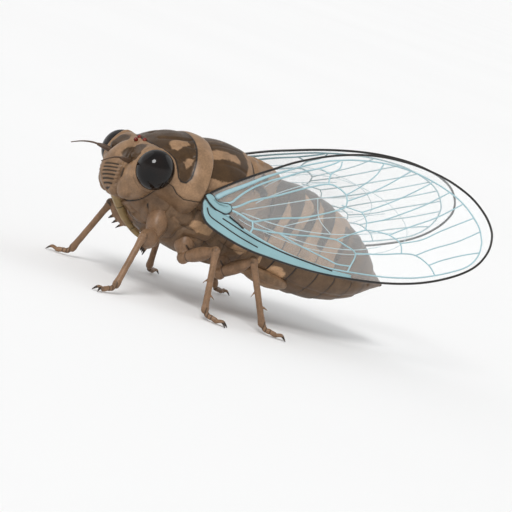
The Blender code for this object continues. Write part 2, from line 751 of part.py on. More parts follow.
def wing_axes():
    """Root, length and the directions along, across and out of the left forewing, on the level body."""
    root, tip = Vector(WING_ROOT), Vector(WING_TIP)
    along = (tip - root).normalized()
    inward = Vector((-1, 0, 0))
    inward = (inward - inward.project(along)).normalized()
    up = along.cross(inward)
    across = inward * math.cos(WING_LEAN) + up * math.sin(WING_LEAN)
    out = along.cross(across)
    if out.x < 0:
        out.negate()
    return root, (tip - root).length, along, across, out


def wing_point(u, v, offset, side):
    """A point of the wing's curved sheet, u and v in millimetres, offset out of it."""
    root, _, along, across, out = wing_axes()
    bend = min(max(u / WING_FLAT_ROOT, 0.0), 1.0)
    drop = WING_CAMBER * bend * (v / WING_HALF_WIDTH) ** 2
    point = root + along * u + across * v + out * (offset - drop)
    return body_point(side * point.x, point.y, point.z)


def smooth_line(points, spacing, closed=False):
    """Points at about the given spacing along a smooth curve through a few."""
    points = [Vector(p) for p in points]
    count = len(points)
    line = []
    for i in range(count if closed else count - 1):
        if closed:
            p0, p1, p2, p3 = (points[(i + k) % count] for k in (-1, 0, 1, 2))
        else:
            p0, p1 = points[max(i - 1, 0)], points[i]
            p2, p3 = points[i + 1], points[min(i + 2, count - 1)]
        steps = max(1, round((p2 - p1).length / spacing))
        for step in range(steps):
            t = step / steps
            line.append(
                0.5 * (2 * p1 + (p2 - p0) * t + (2 * p0 - 5 * p1 + 4 * p2 - p3) * t * t
                       + (3 * p1 - p0 - 3 * p2 + p3) * t ** 3)
            )
    if not closed:
        line.append(points[-1])
    return line


def offset_line(line, distance):
    """A line beside another, at a distance to its left."""
    moved = []
    for i, point in enumerate(line):
        way = (line[min(i + 1, len(line) - 1)] - line[max(i - 1, 0)]).normalized()
        moved.append(point + Vector((-way.y, way.x)) * distance)
    return moved


def inside(point, outline):
    """Whether a point lies inside a closed outline."""
    within = False
    for a, b in zip(outline, outline[1:] + outline[:1]):
        if (a.y > point.y) != (b.y > point.y):
            if point.x < a.x + (point.y - a.y) * (b.x - a.x) / (b.y - a.y):
                within = not within
    return within


def distance_to(point, line):
    """Distance from a point to a line of several stretches."""
    nearest = 1e9
    for a, b in zip(line, line[1:]):
        foot, share = intersect_point_line(point, a, b)
        foot = a if share < 0 else b if share > 1 else Vector(foot[:2])
        nearest = min(nearest, (point - foot).length)
    return nearest


def ridge_height(point, veins):
    """How far the membrane rises here to carry its veins."""
    reach = VEIN_WIDTH / 2
    return max(
        VEIN_HEIGHT * max(0.0, 1 - distance_to(point, line) / reach) for line in veins
    )


def wing_sheet(name, outline, veins, inset, side):
    """A thin closed wing, split into the same triangles on both faces, with its veins raised on both."""
    length = wing_axes()[1]
    rim = smooth_line([Vector(p) * length for p in outline], 2.6, closed=True)
    lines = [smooth_line([Vector(p) * length for p in line], 3.0) for line in veins.values()]
    flat, edges = list(rim), []
    for line in lines:
        for strand in (line, offset_line(line, VEIN_WIDTH / 2), offset_line(line, -VEIN_WIDTH / 2)):
            kept = [p for p in strand if inside(p, rim)]
            edges += [(len(flat) + i, len(flat) + i + 1) for i in range(len(kept) - 1)]
            flat += kept
    across = np.arange(-0.25 * length, 0.3 * length, SHEET_STEP)
    for u in np.arange(0.0, length, SHEET_STEP):
        for v in across:
            point = Vector((u, v))
            near = min(distance_to(point, line) for line in [*lines, rim + rim[:1]])
            if inside(point, rim) and near > SHEET_STEP * 0.4:
                flat.append(point)
    made = delaunay_2d_cdt(flat, edges, [list(range(len(rim)))], 1, 1e-3)
    points, triangles = made[0], made[2]
    count = len(points)
    heights = [WING_THICK / 2 + ridge_height(p, lines) for p in points]
    vertices = [wing_point(p.x, p.y, h - inset, side) for p, h in zip(points, heights)]
    vertices += [wing_point(p.x, p.y, -h - inset, side) for p, h in zip(points, heights)]
    faces = [tuple(t) for t in triangles]
    faces += [tuple(i + count for i in reversed(t)) for t in triangles]
    used = {}
    for t in triangles:
        for a, b in zip(t, [*t[1:], t[0]]):
            used[(a, b)] = True
    for a, b in used:
        if (b, a) not in used:
            faces += [(b, a, a + count), (b, a + count, b + count)]
    return mesh_object(name, vertices, faces)


def wing_lobe(row, side, grow=0.0):
    """A thick lobe at a wing's root: u, v and offset of its centre, then its three radii."""
    u, v, offset, long_radius, wide_radius, thick_radius = row
    segments, rings = 10, 8
    centre = wing_point(u, v, offset, side)
    one = wing_point(u + 1, v, offset, side) - centre
    two = wing_point(u, v + 1, offset, side) - centre
    three = wing_point(u, v, offset + 1, side) - centre
    stack = []
    for r in range(1, rings):
        polar = math.pi * r / rings
        stack.append([
            centre
            + one * (long_radius + grow) * math.cos(polar)
            + two * (wide_radius + grow) * math.sin(polar) * math.cos(2 * math.pi * s / segments)
            + three * (thick_radius + grow) * math.sin(polar) * math.sin(2 * math.pi * s / segments)
            for s in range(segments)
        ])
    return skin("wing_lobe", stack)


def make_wings():
    torso_near = [mesonotum_shell, pleuron_core, pronotum_shell, collar_band, abdomen_body]
    for side, word in ((LEFT, "left"), (RIGHT, "right")):
        sheet = wing_sheet("sheet", FOREWING_OUTLINE, FOREWING_VEINS, 0.0, side)
        lobes = [wing_lobe(row, side) for row in FOREWING_LOBES]
        node(f"forewing_{word}", [sheet, *lobes], torso_near, "wing", 25.0)
        sheet = wing_sheet("sheet", HINDWING_OUTLINE, HINDWING_VEINS, HINDWING_INSET, side)
        lobes = [wing_lobe(row, side) for row in HINDWING_LOBES]
        above = [lambda grow, row=row, side=side: wing_lobe(row, side, grow) for row in FOREWING_LOBES]
        node(f"hindwing_{word}", [sheet, *lobes], torso_near + above, "wing", 25.0)


def main():
    clear_scene()
    make_head()
    make_torso()
    make_legs()
    make_wings()


main()
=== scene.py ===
import math

import bpy
import numpy as np
from mathutils import Euler, Matrix, Vector, noise
from mathutils.geometry import delaunay_2d_cdt
from numpy.linalg import norm


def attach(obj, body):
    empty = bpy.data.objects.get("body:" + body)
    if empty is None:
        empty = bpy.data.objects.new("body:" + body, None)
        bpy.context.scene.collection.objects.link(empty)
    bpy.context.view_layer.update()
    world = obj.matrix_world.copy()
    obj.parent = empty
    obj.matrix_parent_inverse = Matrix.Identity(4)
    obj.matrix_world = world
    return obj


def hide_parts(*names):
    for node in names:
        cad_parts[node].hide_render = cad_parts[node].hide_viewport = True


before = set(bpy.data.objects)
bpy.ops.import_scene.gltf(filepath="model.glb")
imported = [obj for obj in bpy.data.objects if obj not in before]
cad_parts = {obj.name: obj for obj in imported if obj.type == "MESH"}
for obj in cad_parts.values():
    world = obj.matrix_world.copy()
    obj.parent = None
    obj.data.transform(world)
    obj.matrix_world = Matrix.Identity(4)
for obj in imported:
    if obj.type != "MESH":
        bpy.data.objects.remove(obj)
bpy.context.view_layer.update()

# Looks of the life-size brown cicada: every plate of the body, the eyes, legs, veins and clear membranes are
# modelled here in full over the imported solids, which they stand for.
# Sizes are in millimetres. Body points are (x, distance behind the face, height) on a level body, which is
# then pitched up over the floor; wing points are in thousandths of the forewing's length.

MM = 0.001
LEFT, RIGHT = 1, -1
SIDES = ((LEFT, "left"), (RIGHT, "right"))
UP = np.array((0, 0, 1.0))
NO_FACES = np.empty((0, 3), int)
# Keeps divisors off zero
TINY = 1e-12
# How far a point without a marking is said to be from one
UNMARKED = 9.0
# Share of the way to their neighbours' middle that points go in each smoothing step, to and fro
RELAX_STEPS = (0.5, -0.52)
# Turns by which the ends of swept forms and of torso parts round off, and shares in which the latter close
CAP_TURNS = np.radians((24, 48, 72))
LIP_TURNS = np.radians((20, 40, 60, 80))
LIP_CLOSING = (0.35, 0.65, 0.9)

# How the body stands
BODY_LENGTH = 37.0
FACE_Y = -22.1
BODY_PITCH = math.radians(8.5)
PITCH_PIVOT = np.array((0, 18, 10))
BODY_DROP = 1.0
SECTION_POWER = 2.15

# Torso sections: distance behind the face, half width, top, bottom, level of the widest point
PRONOTUM = (
    (3.5, 4.5, 14.5, 9.4, 11.8),
    (5.4, 5.4, 15.9, 8.9, 11.8),
    (7.4, 6, 16.6, 8.5, 11.8),
    (9.1, 6.3, 16.85, 8.2, 11.8),
)
COLLAR = (
    (7, 5.8, 16.3, 8.5, 11.8),
    (7.8, 6.22, 16.72, 8.15, 11.8),
    (8.8, 6.5, 16.95, 7.85, 11.8),
    (9.35, 6.5, 16.95, 7.95, 11.8),
)
PROSTERNUM = ((4.4, 3.2, 13, 7, 9.5), (7, 4.2, 13, 6, 9.3), (9.3, 4.7, 13, 5.5, 9.2))
MESONOTUM = (
    (8.2, 5.5, 16.2, 9.6, 10.9),
    (11, 5.85, 17.3, 9.4, 11),
    (14.5, 5.6, 17.5, 9.4, 11),
    (17, 4.7, 17.2, 9.8, 11.3),
    (18.6, 3.5, 17, 10.4, 11.8),
    (19.5, 2.2, 16.7, 11.4, 12.5),
)
PLEURON = (
    (7.8, 4.6, 14, 5.3, 9.2),
    (11.5, 5.3, 15, 4.9, 9.4),
    (16, 5.35, 15.2, 5.1, 9.5),
    (20.2, 5.1, 14.4, 5.8, 9.7),
)
ABDOMEN = (
    (18.8, 5.1, 15.9, 6.1, 10.4),
    (21, 5.5, 16.6, 5.8, 10.4),
    (24, 5.6, 16.8, 5.75, 10.4),
    (27, 5.4, 16.35, 5.95, 10.4),
    (30, 4.8, 15.4, 6.6, 10.5),
    (33, 3.6, 13.85, 8, 10.7),
    (35, 2.1, 12.2, 9.5, 10.9),
    (BODY_LENGTH, 0.45, 11.2, 10.7, 10.95),
)
# Hind edges of its back plates along the top, how far they sweep forward down the side, and those of its
# belly plates, which meet at a fold
TERGITE_ENDS = (20.8, 22.65, 24.6, 26.95, 29.45, 31.55, 33.1, 34.8)
TERGITE_SLANT = 0.7
TERGITE_SWEEP = 0.9
SWEEP_DEGREES = 80.0
STERNITE_ENDS = (21, 23.65, 26.4, 28.75, 31.25, 33.3, 35.2)
FOLD_DEGREES = 98.0
FOLD_PLACES = (19.5, 23, 27, 31, 34)
# Folds between the plates and along the belly: degrees down, width, depth
RING_FOLDS = ((FOLD_DEGREES, 0.22, 0.16), (132, 0.25, 0.1))
RING_LIP = 0.13
OPERCULUM_CENTRE = (2.5, 22, 6.7)
OPERCULUM_RADII = (2.3, 3, 1.2)
RIPPLE_HEIGHT = 0.05
RIPPLE_RATE = 26
# Share of its radii beyond which the plate is dark
OPERCULUM_RIM = 0.93
SADDLE_CORNER = 0.4
# Dark saddle of each back plate, in degrees down from the top: where its pale front part begins and is in
# full, what share of the plate that part then has and has at the foot, and where the saddle begins and ends
SADDLES = (
    (-60, -30, 0.54, 0.54, -180, 88),
    (36, 62, 0.56, 0.56, -180, 82),
    (14, 44, 0.7, 0.36, -180, 82),
    (16, 38, 0.3, 0.66, -180, 79),
    (-60, -30, 0.46, 0.8, 34, 84),
    *((10, 36, 0.35, 0.35, -180, end) for end in (60, 52, 42)),
    (0, 10, 0.9, 0.9, 0, -20),
)

# Head: sections across it (half width, distance behind the face, height, half depth, half height)
HEAD_CAPSULE = (
    (0, 3.85, 10.95, 1.95, 3.25),
    (2, 3.8, 10.95, 1.9, 3.2),
    (3.6, 3.75, 11.25, 1.85, 2.85),
    (4.7, 3.8, 11.7, 1.5, 2.25),
    (5.4, 3.8, 11.9, 0.9, 1.4),
)
HEAD_SIDES = 64
# Swollen face: height, half width, reach forward from its root
CLYPEUS = (
    (7.4, 0.8, 1.1),
    (7.9, 1.4, 1.95),
    (8.7, 1.95, 2.7),
    (9.7, 2.35, 3.1),
    (10.8, 2.4, 3.05),
    (12, 2.1, 2.65),
    (12.9, 1.5, 2.1),
    (13.5, 0.7, 1.5),
)
CLYPEUS_ROOT = 3.6
CLYPEUS_BACK = 1.2
# Ribs on the sides of the face: heights at the middle, where they begin and how steeply they rise outward
RIB_LEVELS = (7.6, 8, 8.4, 8.8, 9.2, 9.6, 10)
RIB_START = 0.4
RIB_RISE = 0.4
SUTURE_INK_TOP = 10.6
# Height below which the head's sides, off the face, are painted darker: painted shade under the eyes
CHEEK_SHADE_TOP = 9.3
CROWN_FRONT = 13.6
CROWN_LINE = ((0, 2.4, 14.4), (0, 5, 14.6))
BROW_LINE = ((0, 1.4, 13.6), (1.6, 2, 13.2), (2.2, 1.9, 12.8))
# Swellings beside the face, as centre and radii
CHEEKS = (((2.6, 2.9, 9.2), (1.15, 1, 1.5)), ((1.2, 2.6, 8.4), (0.75, 0.9, 0.95)))
EYE_CENTRE = (4.85, 3.9, 11.9)
EYE_RADII = (1.8, 2.06, 2.14)
# Ridge and groove round each eye: rise, place in radii of the eye, width
EYE_RINGS = ((0.1, 1.06, 0.05), (-0.08, 1.16, 0.06))
OCELLUS_RADIUS = 0.24
OCELLI = ((0, 2.7, 13.72), (0.75, 3.3, 14.08), (-0.75, 3.3, 14.08))
# Dark spot round the root of each antenna: distance from the middle, height
FACE_SPOT = (2.3, 12.5)
FACE_SPOT_RADIUS = 1.28
# The ledge over each antenna and the beak, with a radius at every point
ANTENNA_LEDGE = ((2.2, 2.2, 12.25, 0.34), (2.9, 2.1, 12.2, 0.42), (3.7, 2.5, 12.15, 0.3))
ROSTRUM = (
    (0, 3.2, 8.05, 0.68),
    (0, 4.3, 6.85, 0.54),
    (0, 5.8, 5.65, 0.4),
    (0, 7.7, 4.8, 0.32),
    (0, 9.8, 4.4, 0.12),
)
# From its middle line to the groove along it, and the distances of its dark rings from its root
ROSTRUM_GROOVE = (0, -0.45, -0.3)
ROSTRUM_RINGS = (1.9, 4.6)
ANTENNA = ((2.7, 1.9, 11.5), (3, 1.1, 11.5), (3.5, 0.1, 11.4), (4, -0.9, 11), (4.4, -1.8, 10.4))
ANTENNA_BASE_RADII = (0.3, 0.27, 0.17)
BRISTLE_RADII = (0.12, 0.1, 0.075, 0.05)

# Legs: two points on the pitched body, then three with their height over the floor
LEG_JOINTS = {
    "front_left": ((2.9, 7.4, 8.4), (4.6, 7.4, 5.2), (7.3, 4.3, 6.3), (8.9, 2.4, 1), (9.5, 0.9, 0.34)),
    "front_right": ((-2.9, 7.4, 8.4), (-3.8, 9.3, 5.4), (-5.6, 5.6, 7.1), (-7.5, 3.9, 1), (-8.3, 2.6, 0.34)),
    "middle_left": ((2.9, 11.2, 7.4), (4.5, 11.5, 4.9), (8.4, 12.2, 7), (10, 12.4, 1), (11, 13.6, 0.34)),
    "middle_right": (
        (-2.9, 11.2, 7.4), (-4.5, 11.7, 4.9), (-8, 13.4, 7), (-10, 14.5, 1), (-11.1, 15.6, 0.34)
    ),
    "hind_left": ((2.8, 15.8, 7.4), (4.3, 16.3, 5), (7.9, 17, 7), (9.4, 19.6, 1), (10.1, 21.2, 0.34)),
    "hind_right": (
        (-2.8, 15.8, 7.4), (-4.3, 16.5, 5), (-7.4, 19.2, 7), (-8.9, 22.3, 1), (-9.7, 23.8, 0.34)
    ),
}
COXA_RADII = {"front": 1.15, "middle": 1.1, "hind": 1.05}
FEMUR_RADII = {"front": 1.08, "middle": 0.76, "hind": 0.74}
TROCHANTER_RADIUS = 0.72
KNEE_RADIUS = 0.5
# Rows of the shin (place, radius) and joints of the foot (place, sag)
SHIN_ROWS = ((-0.02, 0.4), (0.06, 0.43), (0.16, 0.36), (0.5, 0.34), (0.85, 0.35), (0.97, 0.42), (1, 0.4))
FOOT_JOINTS = ((0.12, 0.13), (0.32, 0.26), (0.6, 0.091))
CLAW_LENGTH = 0.95
CLAW_TIP_HEIGHT = 0.07
CLAW_SPREAD = math.radians(26)
# Spines of the front thighs (place, length) and spurs of the other shins (place, side, slant, length)
FEMUR_SPINES = ((0.34, 0.85), (0.52, 0.7), (0.7, 0.5))
SPURS = ((0.45, -1, 0.9, 1.1), (0.7, 1, 0.9, 1.1), (0.9, -1, 1.6, 0.85), (0.93, 1, 1.6, 0.85))

# Wings: how the sheet stands and bends, then flat points in thousandths of the forewing's length, as (from
# root to tip, from front to rear)
WING_ROOT = np.array((6.8, 9.1, 10.8))
WING_TIP = np.array((5.2, 44.6, 20.6))
WING_LEAN = math.radians(60)
WING_CAMBER = 0.9
WING_HALF_WIDTH = 8.0
WING_FLAT_ROOT = 14.0
HINDWING_INSET = 1.15
MEMBRANE_THICK = 0.05
CELL_SAG = 0.09
SHEET_STEP = 0.42
EDGE_RADIUS = 0.125
LOBE_SEAM_RADIUS = 0.085
BAND_SEAM_INSET = -0.13
LOBE_SEAM_INSET = -0.12
HINDWING_EDGE_RADIUS = 0.035
BAND_HEIGHT = 0.16
FOREWING_OUTLINE = (
    (12, -12), (14, -37), (31, -61), (85, -90), (151, -115), (218, -130), (321, -147), (424, -158),
    (516, -162), (599, -162), (674, -157), (744, -147), (814, -130), (886, -104), (940, -72), (978, -29),
    (994, 12), (994, 45), (977, 87), (940, 133), (891, 168), (841, 192), (775, 213), (710, 225), (634, 230),
    (550, 224), (447, 204), (337, 170), (250, 134), (188, 108), (108, 71), (45, 38), (20, 16),
)
APICAL_VEINS = (
    ((493, 88), (545, 120), (604, 164), (641, 209)),
    ((494, 69), (560, 97), (635, 136), (733, 196)),
    ((541, 40), (609, 68), (684, 103), (780, 155), (805, 172)),
    ((556, 9), (623, 29), (697, 60), (772, 95), (860, 144)),
    ((631, -18), (711, 18), (803, 57), (903, 112)),
    ((669, -39), (744, -19), (818, 18), (935, 71)),
    ((721, -69), (779, -43), (870, -10), (953, 30)),
    ((767, -93), (814, -73), (886, -50), (947, -35)),
)
# Radius in millimetres at the start and at the end of each vein, then its points
FOREWING_VEINS = (
    # Behind the front band, round the tip and back along the rear edge
    (0.13, 0.08, (
        (40, -16), (97, -26), (134, -53), (218, -90), (286, -112), (355, -128), (420, -138), (489, -142),
    )),
    (0.08, 0.08, (
        (489, -142), (603, -144), (687, -139), (743, -131), (814, -114), (886, -90), (922, -68), (946, -38),
        (957, -3),
    )),
    (0.08, 0.09, (
        (957, -3), (953, 37), (935, 72), (903, 112), (862, 143), (805, 172), (734, 196), (641, 209),
        (549, 206), (487, 197), (444, 188), (371, 165), (298, 137),
    )),
    (0.1, 0.3, ((298, 137), (227, 108), (158, 74), (90, 42), (61, 26))),
    # Claval vein and ties
    (0.13, 0.08, (
        (60, 8), (103, 14), (122, 28), (150, 50), (191, 75), (243, 99), (296, 119), (351, 141), (412, 161),
        (471, 186), (487, 197),
    )),
    (0.07, 0.08, ((493, 192), (483, 171), (448, 146), (436, 114))),
    (0.06, 0.06, ((412, 161), (448, 146))),
    # Cubitus and tie
    (0.13, 0.08, ((60, 0), (115, 2), (175, 29), (257, 55), (362, 93), (436, 114), (473, 104), (493, 88))),
    (0.08, 0.07, ((493, 88), (494, 69), (485, 48), (460, 36))),
    # Media and its branches
    (0.12, 0.08, (
        (60, -6), (106, -8), (137, -18), (173, -32), (220, -21), (271, -11), (339, -1), (390, 13), (436, 28),
        (475, 43),
    )),
    (0.1, 0.1, ((173, -32), (173, -53), (166, -65))),
    (0.1, 0.08, ((172, -53), (226, -56), (259, -56), (320, -55), (388, -51), (450, -53))),
    (0.08, 0.07, ((450, -53), (480, -40), (509, -28), (549, -13))),
    (0.07, 0.06, ((549, -13), (556, 9), (550, 29), (541, 40), (516, 45), (475, 53))),
    # Sector and its branches
    (0.09, 0.07, ((259, -56), (303, -76), (364, -96), (422, -114), (453, -124), (498, -125))),
    (0.08, 0.08, ((450, -53), (480, -66), (515, -86), (498, -125), (489, -142))),
    (0.08, 0.07, ((515, -86), (602, -79), (672, -69), (721, -69), (767, -93), (789, -121))),
    (0.07, 0.07, ((549, -13), (579, -12), (631, -18), (669, -39), (672, -69))),
    *((0.07, 0.07, points) for points in APICAL_VEINS),
)
# Dark seams on the front band and beside the root
BAND_SEAMS = (
    (0.085, 0.085, ((26, -12), (34, -34), (70, -55), (125, -83), (185, -107))),
    (0.09, 0.09, ((75, -37), (136, -66), (192, -89), (286, -116), (434, -146))),
    (0.085, 0.085, ((98, -28), (118, -42), (140, -57))),
)
BAND_FRONT = ((14, 4), (12.5, -14), *FOREWING_OUTLINE[1:7], (424, -157), (500, -160))
BAND_REAR = (
    (20, 14), (30, 4), (45, -10), (97, -30), (134, -53), (218, -90), (321, -121), (424, -141), (500, -150)
)
LOBE_OUTLINE = (
    (22, 24), (32, 31), (46, 27), (54, 14), (68, 9), (94, 8), (104, 0), (101, -13), (86, -22), (68, -18),
    (50, -10), (36, 2), (28, 12),
)
# Middle line of the lobe, and its rise as share of the way out from that line and height in millimetres
LOBE_MIDDLE = ((33, 20), (45, 12), (60, 0), (90, -7))
LOBE_RISE = ((1, -0.2), (1, 0.08), (0.93, 0.2), (0.8, 0.28), (0.55, 0.33), (0.25, 0.35))
HINDWING_OUTLINE = (
    (149, -20), (243, -52), (385, -80), (527, -80), (640, -57), (707, -15), (707, 38), (650, 95), (565, 132),
    (461, 151), (357, 142), (262, 104), (187, 47), (149, 20),
)
HINDWING_VEINS = (
    (0.06, 0.04, ((158, -8), (243, -38), (385, -66), (527, -66), (622, -45))),
    (0.06, 0.04, ((158, 0), (291, -24), (451, -28), (660, 0))),
    (0.05, 0.04, ((291, -24), (414, 14), (527, 33), (641, 57))),
    (0.06, 0.04, ((158, 8), (291, 43), (414, 76), (556, 109))),
    (0.05, 0.04, ((168, 13), (262, 66), (376, 113), (451, 130))),
    (0.04, 0.04, ((451, -28), (414, 14), (414, 76))),
)

# Ridges, grooves and pale patches of the torso, as body points
CROSS_ARMS = ((1.25, 16.62, 17.25), (0.28, 18.1, 17.05), (0.87, 19.29, 16.4))
CHEEK_LINES = (
    ((3.3, 5.6, 9.3), (3.4, 5.6, 8.2), (3.5, 6.3, 7.2)),
    ((4, 7.6, 9.2), (4.2, 7.4, 7.6), (4, 7.2, 6.6)),
)
DISC_MIDLINE = ((0, 3, 15.3), (0, 7.6, 16.9))
BREAST_MIDLINE = ((0, 8, 5), (0, 20, 5))
BREAST_FOLDS = (
    ((0, 4, 11), (0, 4.2, 8), (0, 5.2, 6.7), (0, 9.3, 5.5)),
    ((1.3, 4.1, 9.6), (1.7, 4.6, 7.7), (1.9, 5.9, 6.5), (1.8, 7.6, 5.9)),
    ((0, 5.4, 6.6), (1.2, 5.7, 6.6), (2.4, 5.7, 7.2), (3.2, 5.4, 8.4)),
    ((0, 7.2, 6), (1.6, 7.3, 6.1), (2.8, 7, 6.8)),
)
SIDE_PATCHES = ((5.1, 11, 8.5), (5.2, 12, 8.6), (5.1, 16.5, 8.3), (5, 17.1, 8.3), (5, 20, 8.2))
BELLY_PATCH = (4.4, 22.1, 7.6)

# Millimetres of skin in one degree round the torso
ARC = 0.098
# Its markings and seams, as (distance behind the face, degrees down from the middle of the back)
DISC = (
    (3, -60), (3, 34), (4.5, 48), (5.5, 64), (6, 78), (6.3, 85), (6.7, 88), (7.2, 87), (7.5, 80),
    (7.6, 40), (7.6, -60),
)
DISC_CUTS = (
    ((4.4, 14), (5.2, 20), (6.4, 22), (7.3, 20)),
    ((4.9, 42), (5.6, 36), (6.5, 33), (7.3, 34)),
    ((5.9, 60), (6.5, 54), (7.2, 52)),
)
DISC_STREAKS = (
    ((4.9, 30), (5.6, 24), (6.8, 24), (7, 31), (6.2, 38), (5.6, 47), (5.1, 42)),
    ((6.3, 63), (6.8, 54), (7.25, 55), (7.15, 64), (6.7, 71)),
)
FOOT_INK_START = 5.8
LOBE_FOOT = (
    (2, 92), (4.6, 97), (6.2, 101), (7, 110), (7.8, 112), (8.5, 107), (9.9, 100), (9.9, 200), (2, 200)
)
COLLAR_SEAM = 9.55
STREAK_END = 13.4
SCUTUM_END = 15.1
SCUTUM_END_BEND = 0.00012
SCUTUM_FOOT = 86
SCUTUM_DARK = ((8, -50), (8, 64), (11, 66), (12.4, 62), (13.9, 52), (14.1, 38), (13.9, 16), (14.6, -16))
SCUTUM_STREAK = ((8, 31), (11, 27), (12.4, 28), (13.1, 34), (12.9, 38), (12, 38), (10.6, 41), (8, 46))
SCUTUM_CONE = ((8, 0), (8, 13), (11.4, 7), (11.9, 3), (11.9, -3), (11.4, -7), (8, -13))
# Depth and path of each seam of the hump
SCUTUM_SEAMS = (
    (0.05, ((8.4, 24), (10, 20), (12, 17), (13.4, 16))),
    (0.06, ((8.6, 50), (10.5, 46), (12.6, 44), (14, 46))),
    (0.14, ((9, 82), (11, 78), (13.5, 74), (16, 66), (17.4, 54))),
)
SCUTELLUM_PIT = (16.7, 40)
PIT_WIDTH = 0.5
PIT_DEPTH = 0.25
PIT_SPOT_RADIUS = 0.65
SCUTELLUM_SPOT = ((15.3, 56), (16, 48), (17.5, 56), (17.2, 65))
# Seams between the plates of the thorax side: place and lean of each, how they bend on their way down, and
# the folds across them
SIDE_SEAMS = ((10, 1.2), (13.2, 0.8), (15, -0.5), (17.8, 1))
SEAM_BENDS = ((1.3, 66), (0.25, 84), (0.3, 100), (-0.35, 118), (-0.2, 140), (-0.9, 160))
SIDE_FOLDS = (
    ((8.4, 104), (9.8, 110), (10.9, 108)),
    ((10.6, 122), (12, 117), (13.4, 120)),
    ((14, 106), (15.6, 112), (17.4, 109)),
)

# Linear colours
GROUND = (0.27, 0.163, 0.09)
PALE = (0.335, 0.2, 0.108)
DARK = (0.058, 0.03, 0.011)
INK = (0.012, 0.009, 0.007)
FLANK = (0.145, 0.085, 0.045)
# Darker colour of the lower head sides: painted shade under the eyes
CHEEK_PAINTED_SHADE = (0.21, 0.126, 0.07)
BREAST = (0.17, 0.1, 0.054)
BACK_PALE = (0.295, 0.177, 0.097)
SIDE_PALE = (0.4, 0.24, 0.13)
RING_GROUND = (0.32, 0.197, 0.112)
BELLY = (0.12, 0.07, 0.037)
BELLY_PALE = (0.48, 0.29, 0.16)
LEG_BROWN = (0.215, 0.126, 0.071)
CLAW_BROWN = (0.035, 0.022, 0.014)
ANTENNA_BROWN = (0.09, 0.055, 0.035)
BEAK_TAN = (0.27, 0.185, 0.085)
OCELLUS_RED = (0.16, 0.012, 0.006)
EYE_BLACKS = ((0.003, 0.0025, 0.0025), (0.009, 0.006, 0.005))
VEIN_BLUE = (0.36, 0.55, 0.6)
BAND_TEAL = (0.26, 0.43, 0.46)
HIND_VEIN_BLUES = ((0.5, 0.64, 0.68), (0.42, 0.56, 0.6))
EDGE_BLACKS = ((0.018, 0.014, 0.012), (0.01, 0.008, 0.007))
MEMBRANE_TINTS = ((0.9, 0.935, 0.95), (0.972, 1.0, 1.0))

FLOOR_REACH = 60000.0
# Brightness of the sky overhead and at the horizon, and the heights between which one turns into the other
SKY = 0.5
HORIZON = 0.93
HORIZON_BAND = (0.16, 0.36)
# Lamps far away: direction they stand in, strength, and how wide they look in degrees
LAMPS = {
    "key": ((0.54, -0.48, 0.69), 1.75, 20),
    "fill": ((-0.6, -0.55, 0.55), 0.3, 60),
    "back": ((-0.1, 0.8, 0.55), 0.35, 50),
}
CAMERA_AZIMUTH = math.radians(62)
CAMERA_ELEVATION = math.radians(6.8)
CAMERA_ROLL = math.radians(19.1)
CAMERA_TARGET = (0, -0.8, 6.5)
CAMERA_FIELD = 55.0
CAMERA_LENS = 200.0
CAMERA_SENSOR = 36.0
CAMERA_NEAR = 5.0



def to_world(points):
    """Level-body points, pitched up and set over the floor."""
    c, s = math.cos(BODY_PITCH), math.sin(BODY_PITCH)
    tilt = np.array(((1, 0, 0), (0, c, -s), (0, s, c)))
    return (points - PITCH_PIVOT) @ tilt + PITCH_PIVOT + (0, FACE_Y, -BODY_DROP)


def unit(way):
    return way / norm(way)


def square_to(way, axis):
    """The direction nearest to a way that is square to an axis."""
    return unit(way - axis * (way @ axis))


def circle(count):
    """Evenly spaced angles of a full turn."""
    return np.linspace(0, 2 * math.pi, count, endpoint=False)


def bell(distance, width):
    return np.exp(-(distance / width) ** 2)


def ease(share):
    """A share between 0 and 1 with a soft start and end."""
    share = np.clip(share, 0, 1)
    return share * share * (3 - 2 * share)


def rows_at(stations, places):
    """The stations' columns at places in their first one, on a smooth curve through them."""
    table = np.array(stations, float)
    start, values = table[:, 0], table[:, 1:]
    places = np.clip(places, start[0], start[-1])
    slopes = np.gradient(values, start, axis=0)
    i = np.clip(np.searchsorted(start, places) - 1, 0, len(start) - 2)
    span = (start[i + 1] - start[i])[:, None]
    s = (places - start[i])[:, None] / span
    return (
        (1 + 2 * s) * (1 - s) ** 2 * values[i]
        + s * (1 - s) ** 2 * span * slopes[i]
        + s * s * (3 - 2 * s) * values[i + 1]
        + s * s * (s - 1) * span * slopes[i + 1]
    )


def smooth(rows, spacing, closed=False, space=3):
    """Rows on a smooth curve through a few, about spacing apart; places are in the first columns."""
    rows = np.array(rows, float)
    before, after = (rows[-1:], rows[:2]) if closed else (rows[:1], rows[-1:])
    padded = np.concatenate([before, rows, after])
    made = []
    for p0, p1, p2, p3 in zip(padded, padded[1:], padded[2:], padded[3:]):
        steps = max(1, round(float(norm((p2 - p1)[:space])) / spacing))
        t = (np.arange(steps) / steps)[:, None]
        bend = (2 * p0 - 5 * p1 + 4 * p2 - p3) * t * t + (3 * p1 - p0 - 3 * p2 + p3) * t ** 3
        made.append(0.5 * (2 * p1 + (p2 - p0) * t + bend))
    if not closed:
        made.append(rows[-1:])
    return np.concatenate(made)


def between(start, end, rows):
    """Rows of place and radius, each at its share of the way from start to end."""
    return [(*(start + (end - start) * share), radius) for share, radius in rows]


def thick(points, radii):
    """Points with a radius each, or with one for all."""
    return np.column_stack([points, np.broadcast_to(radii, len(points))])


# A form is a surface as (points, faces of four, faces of three)

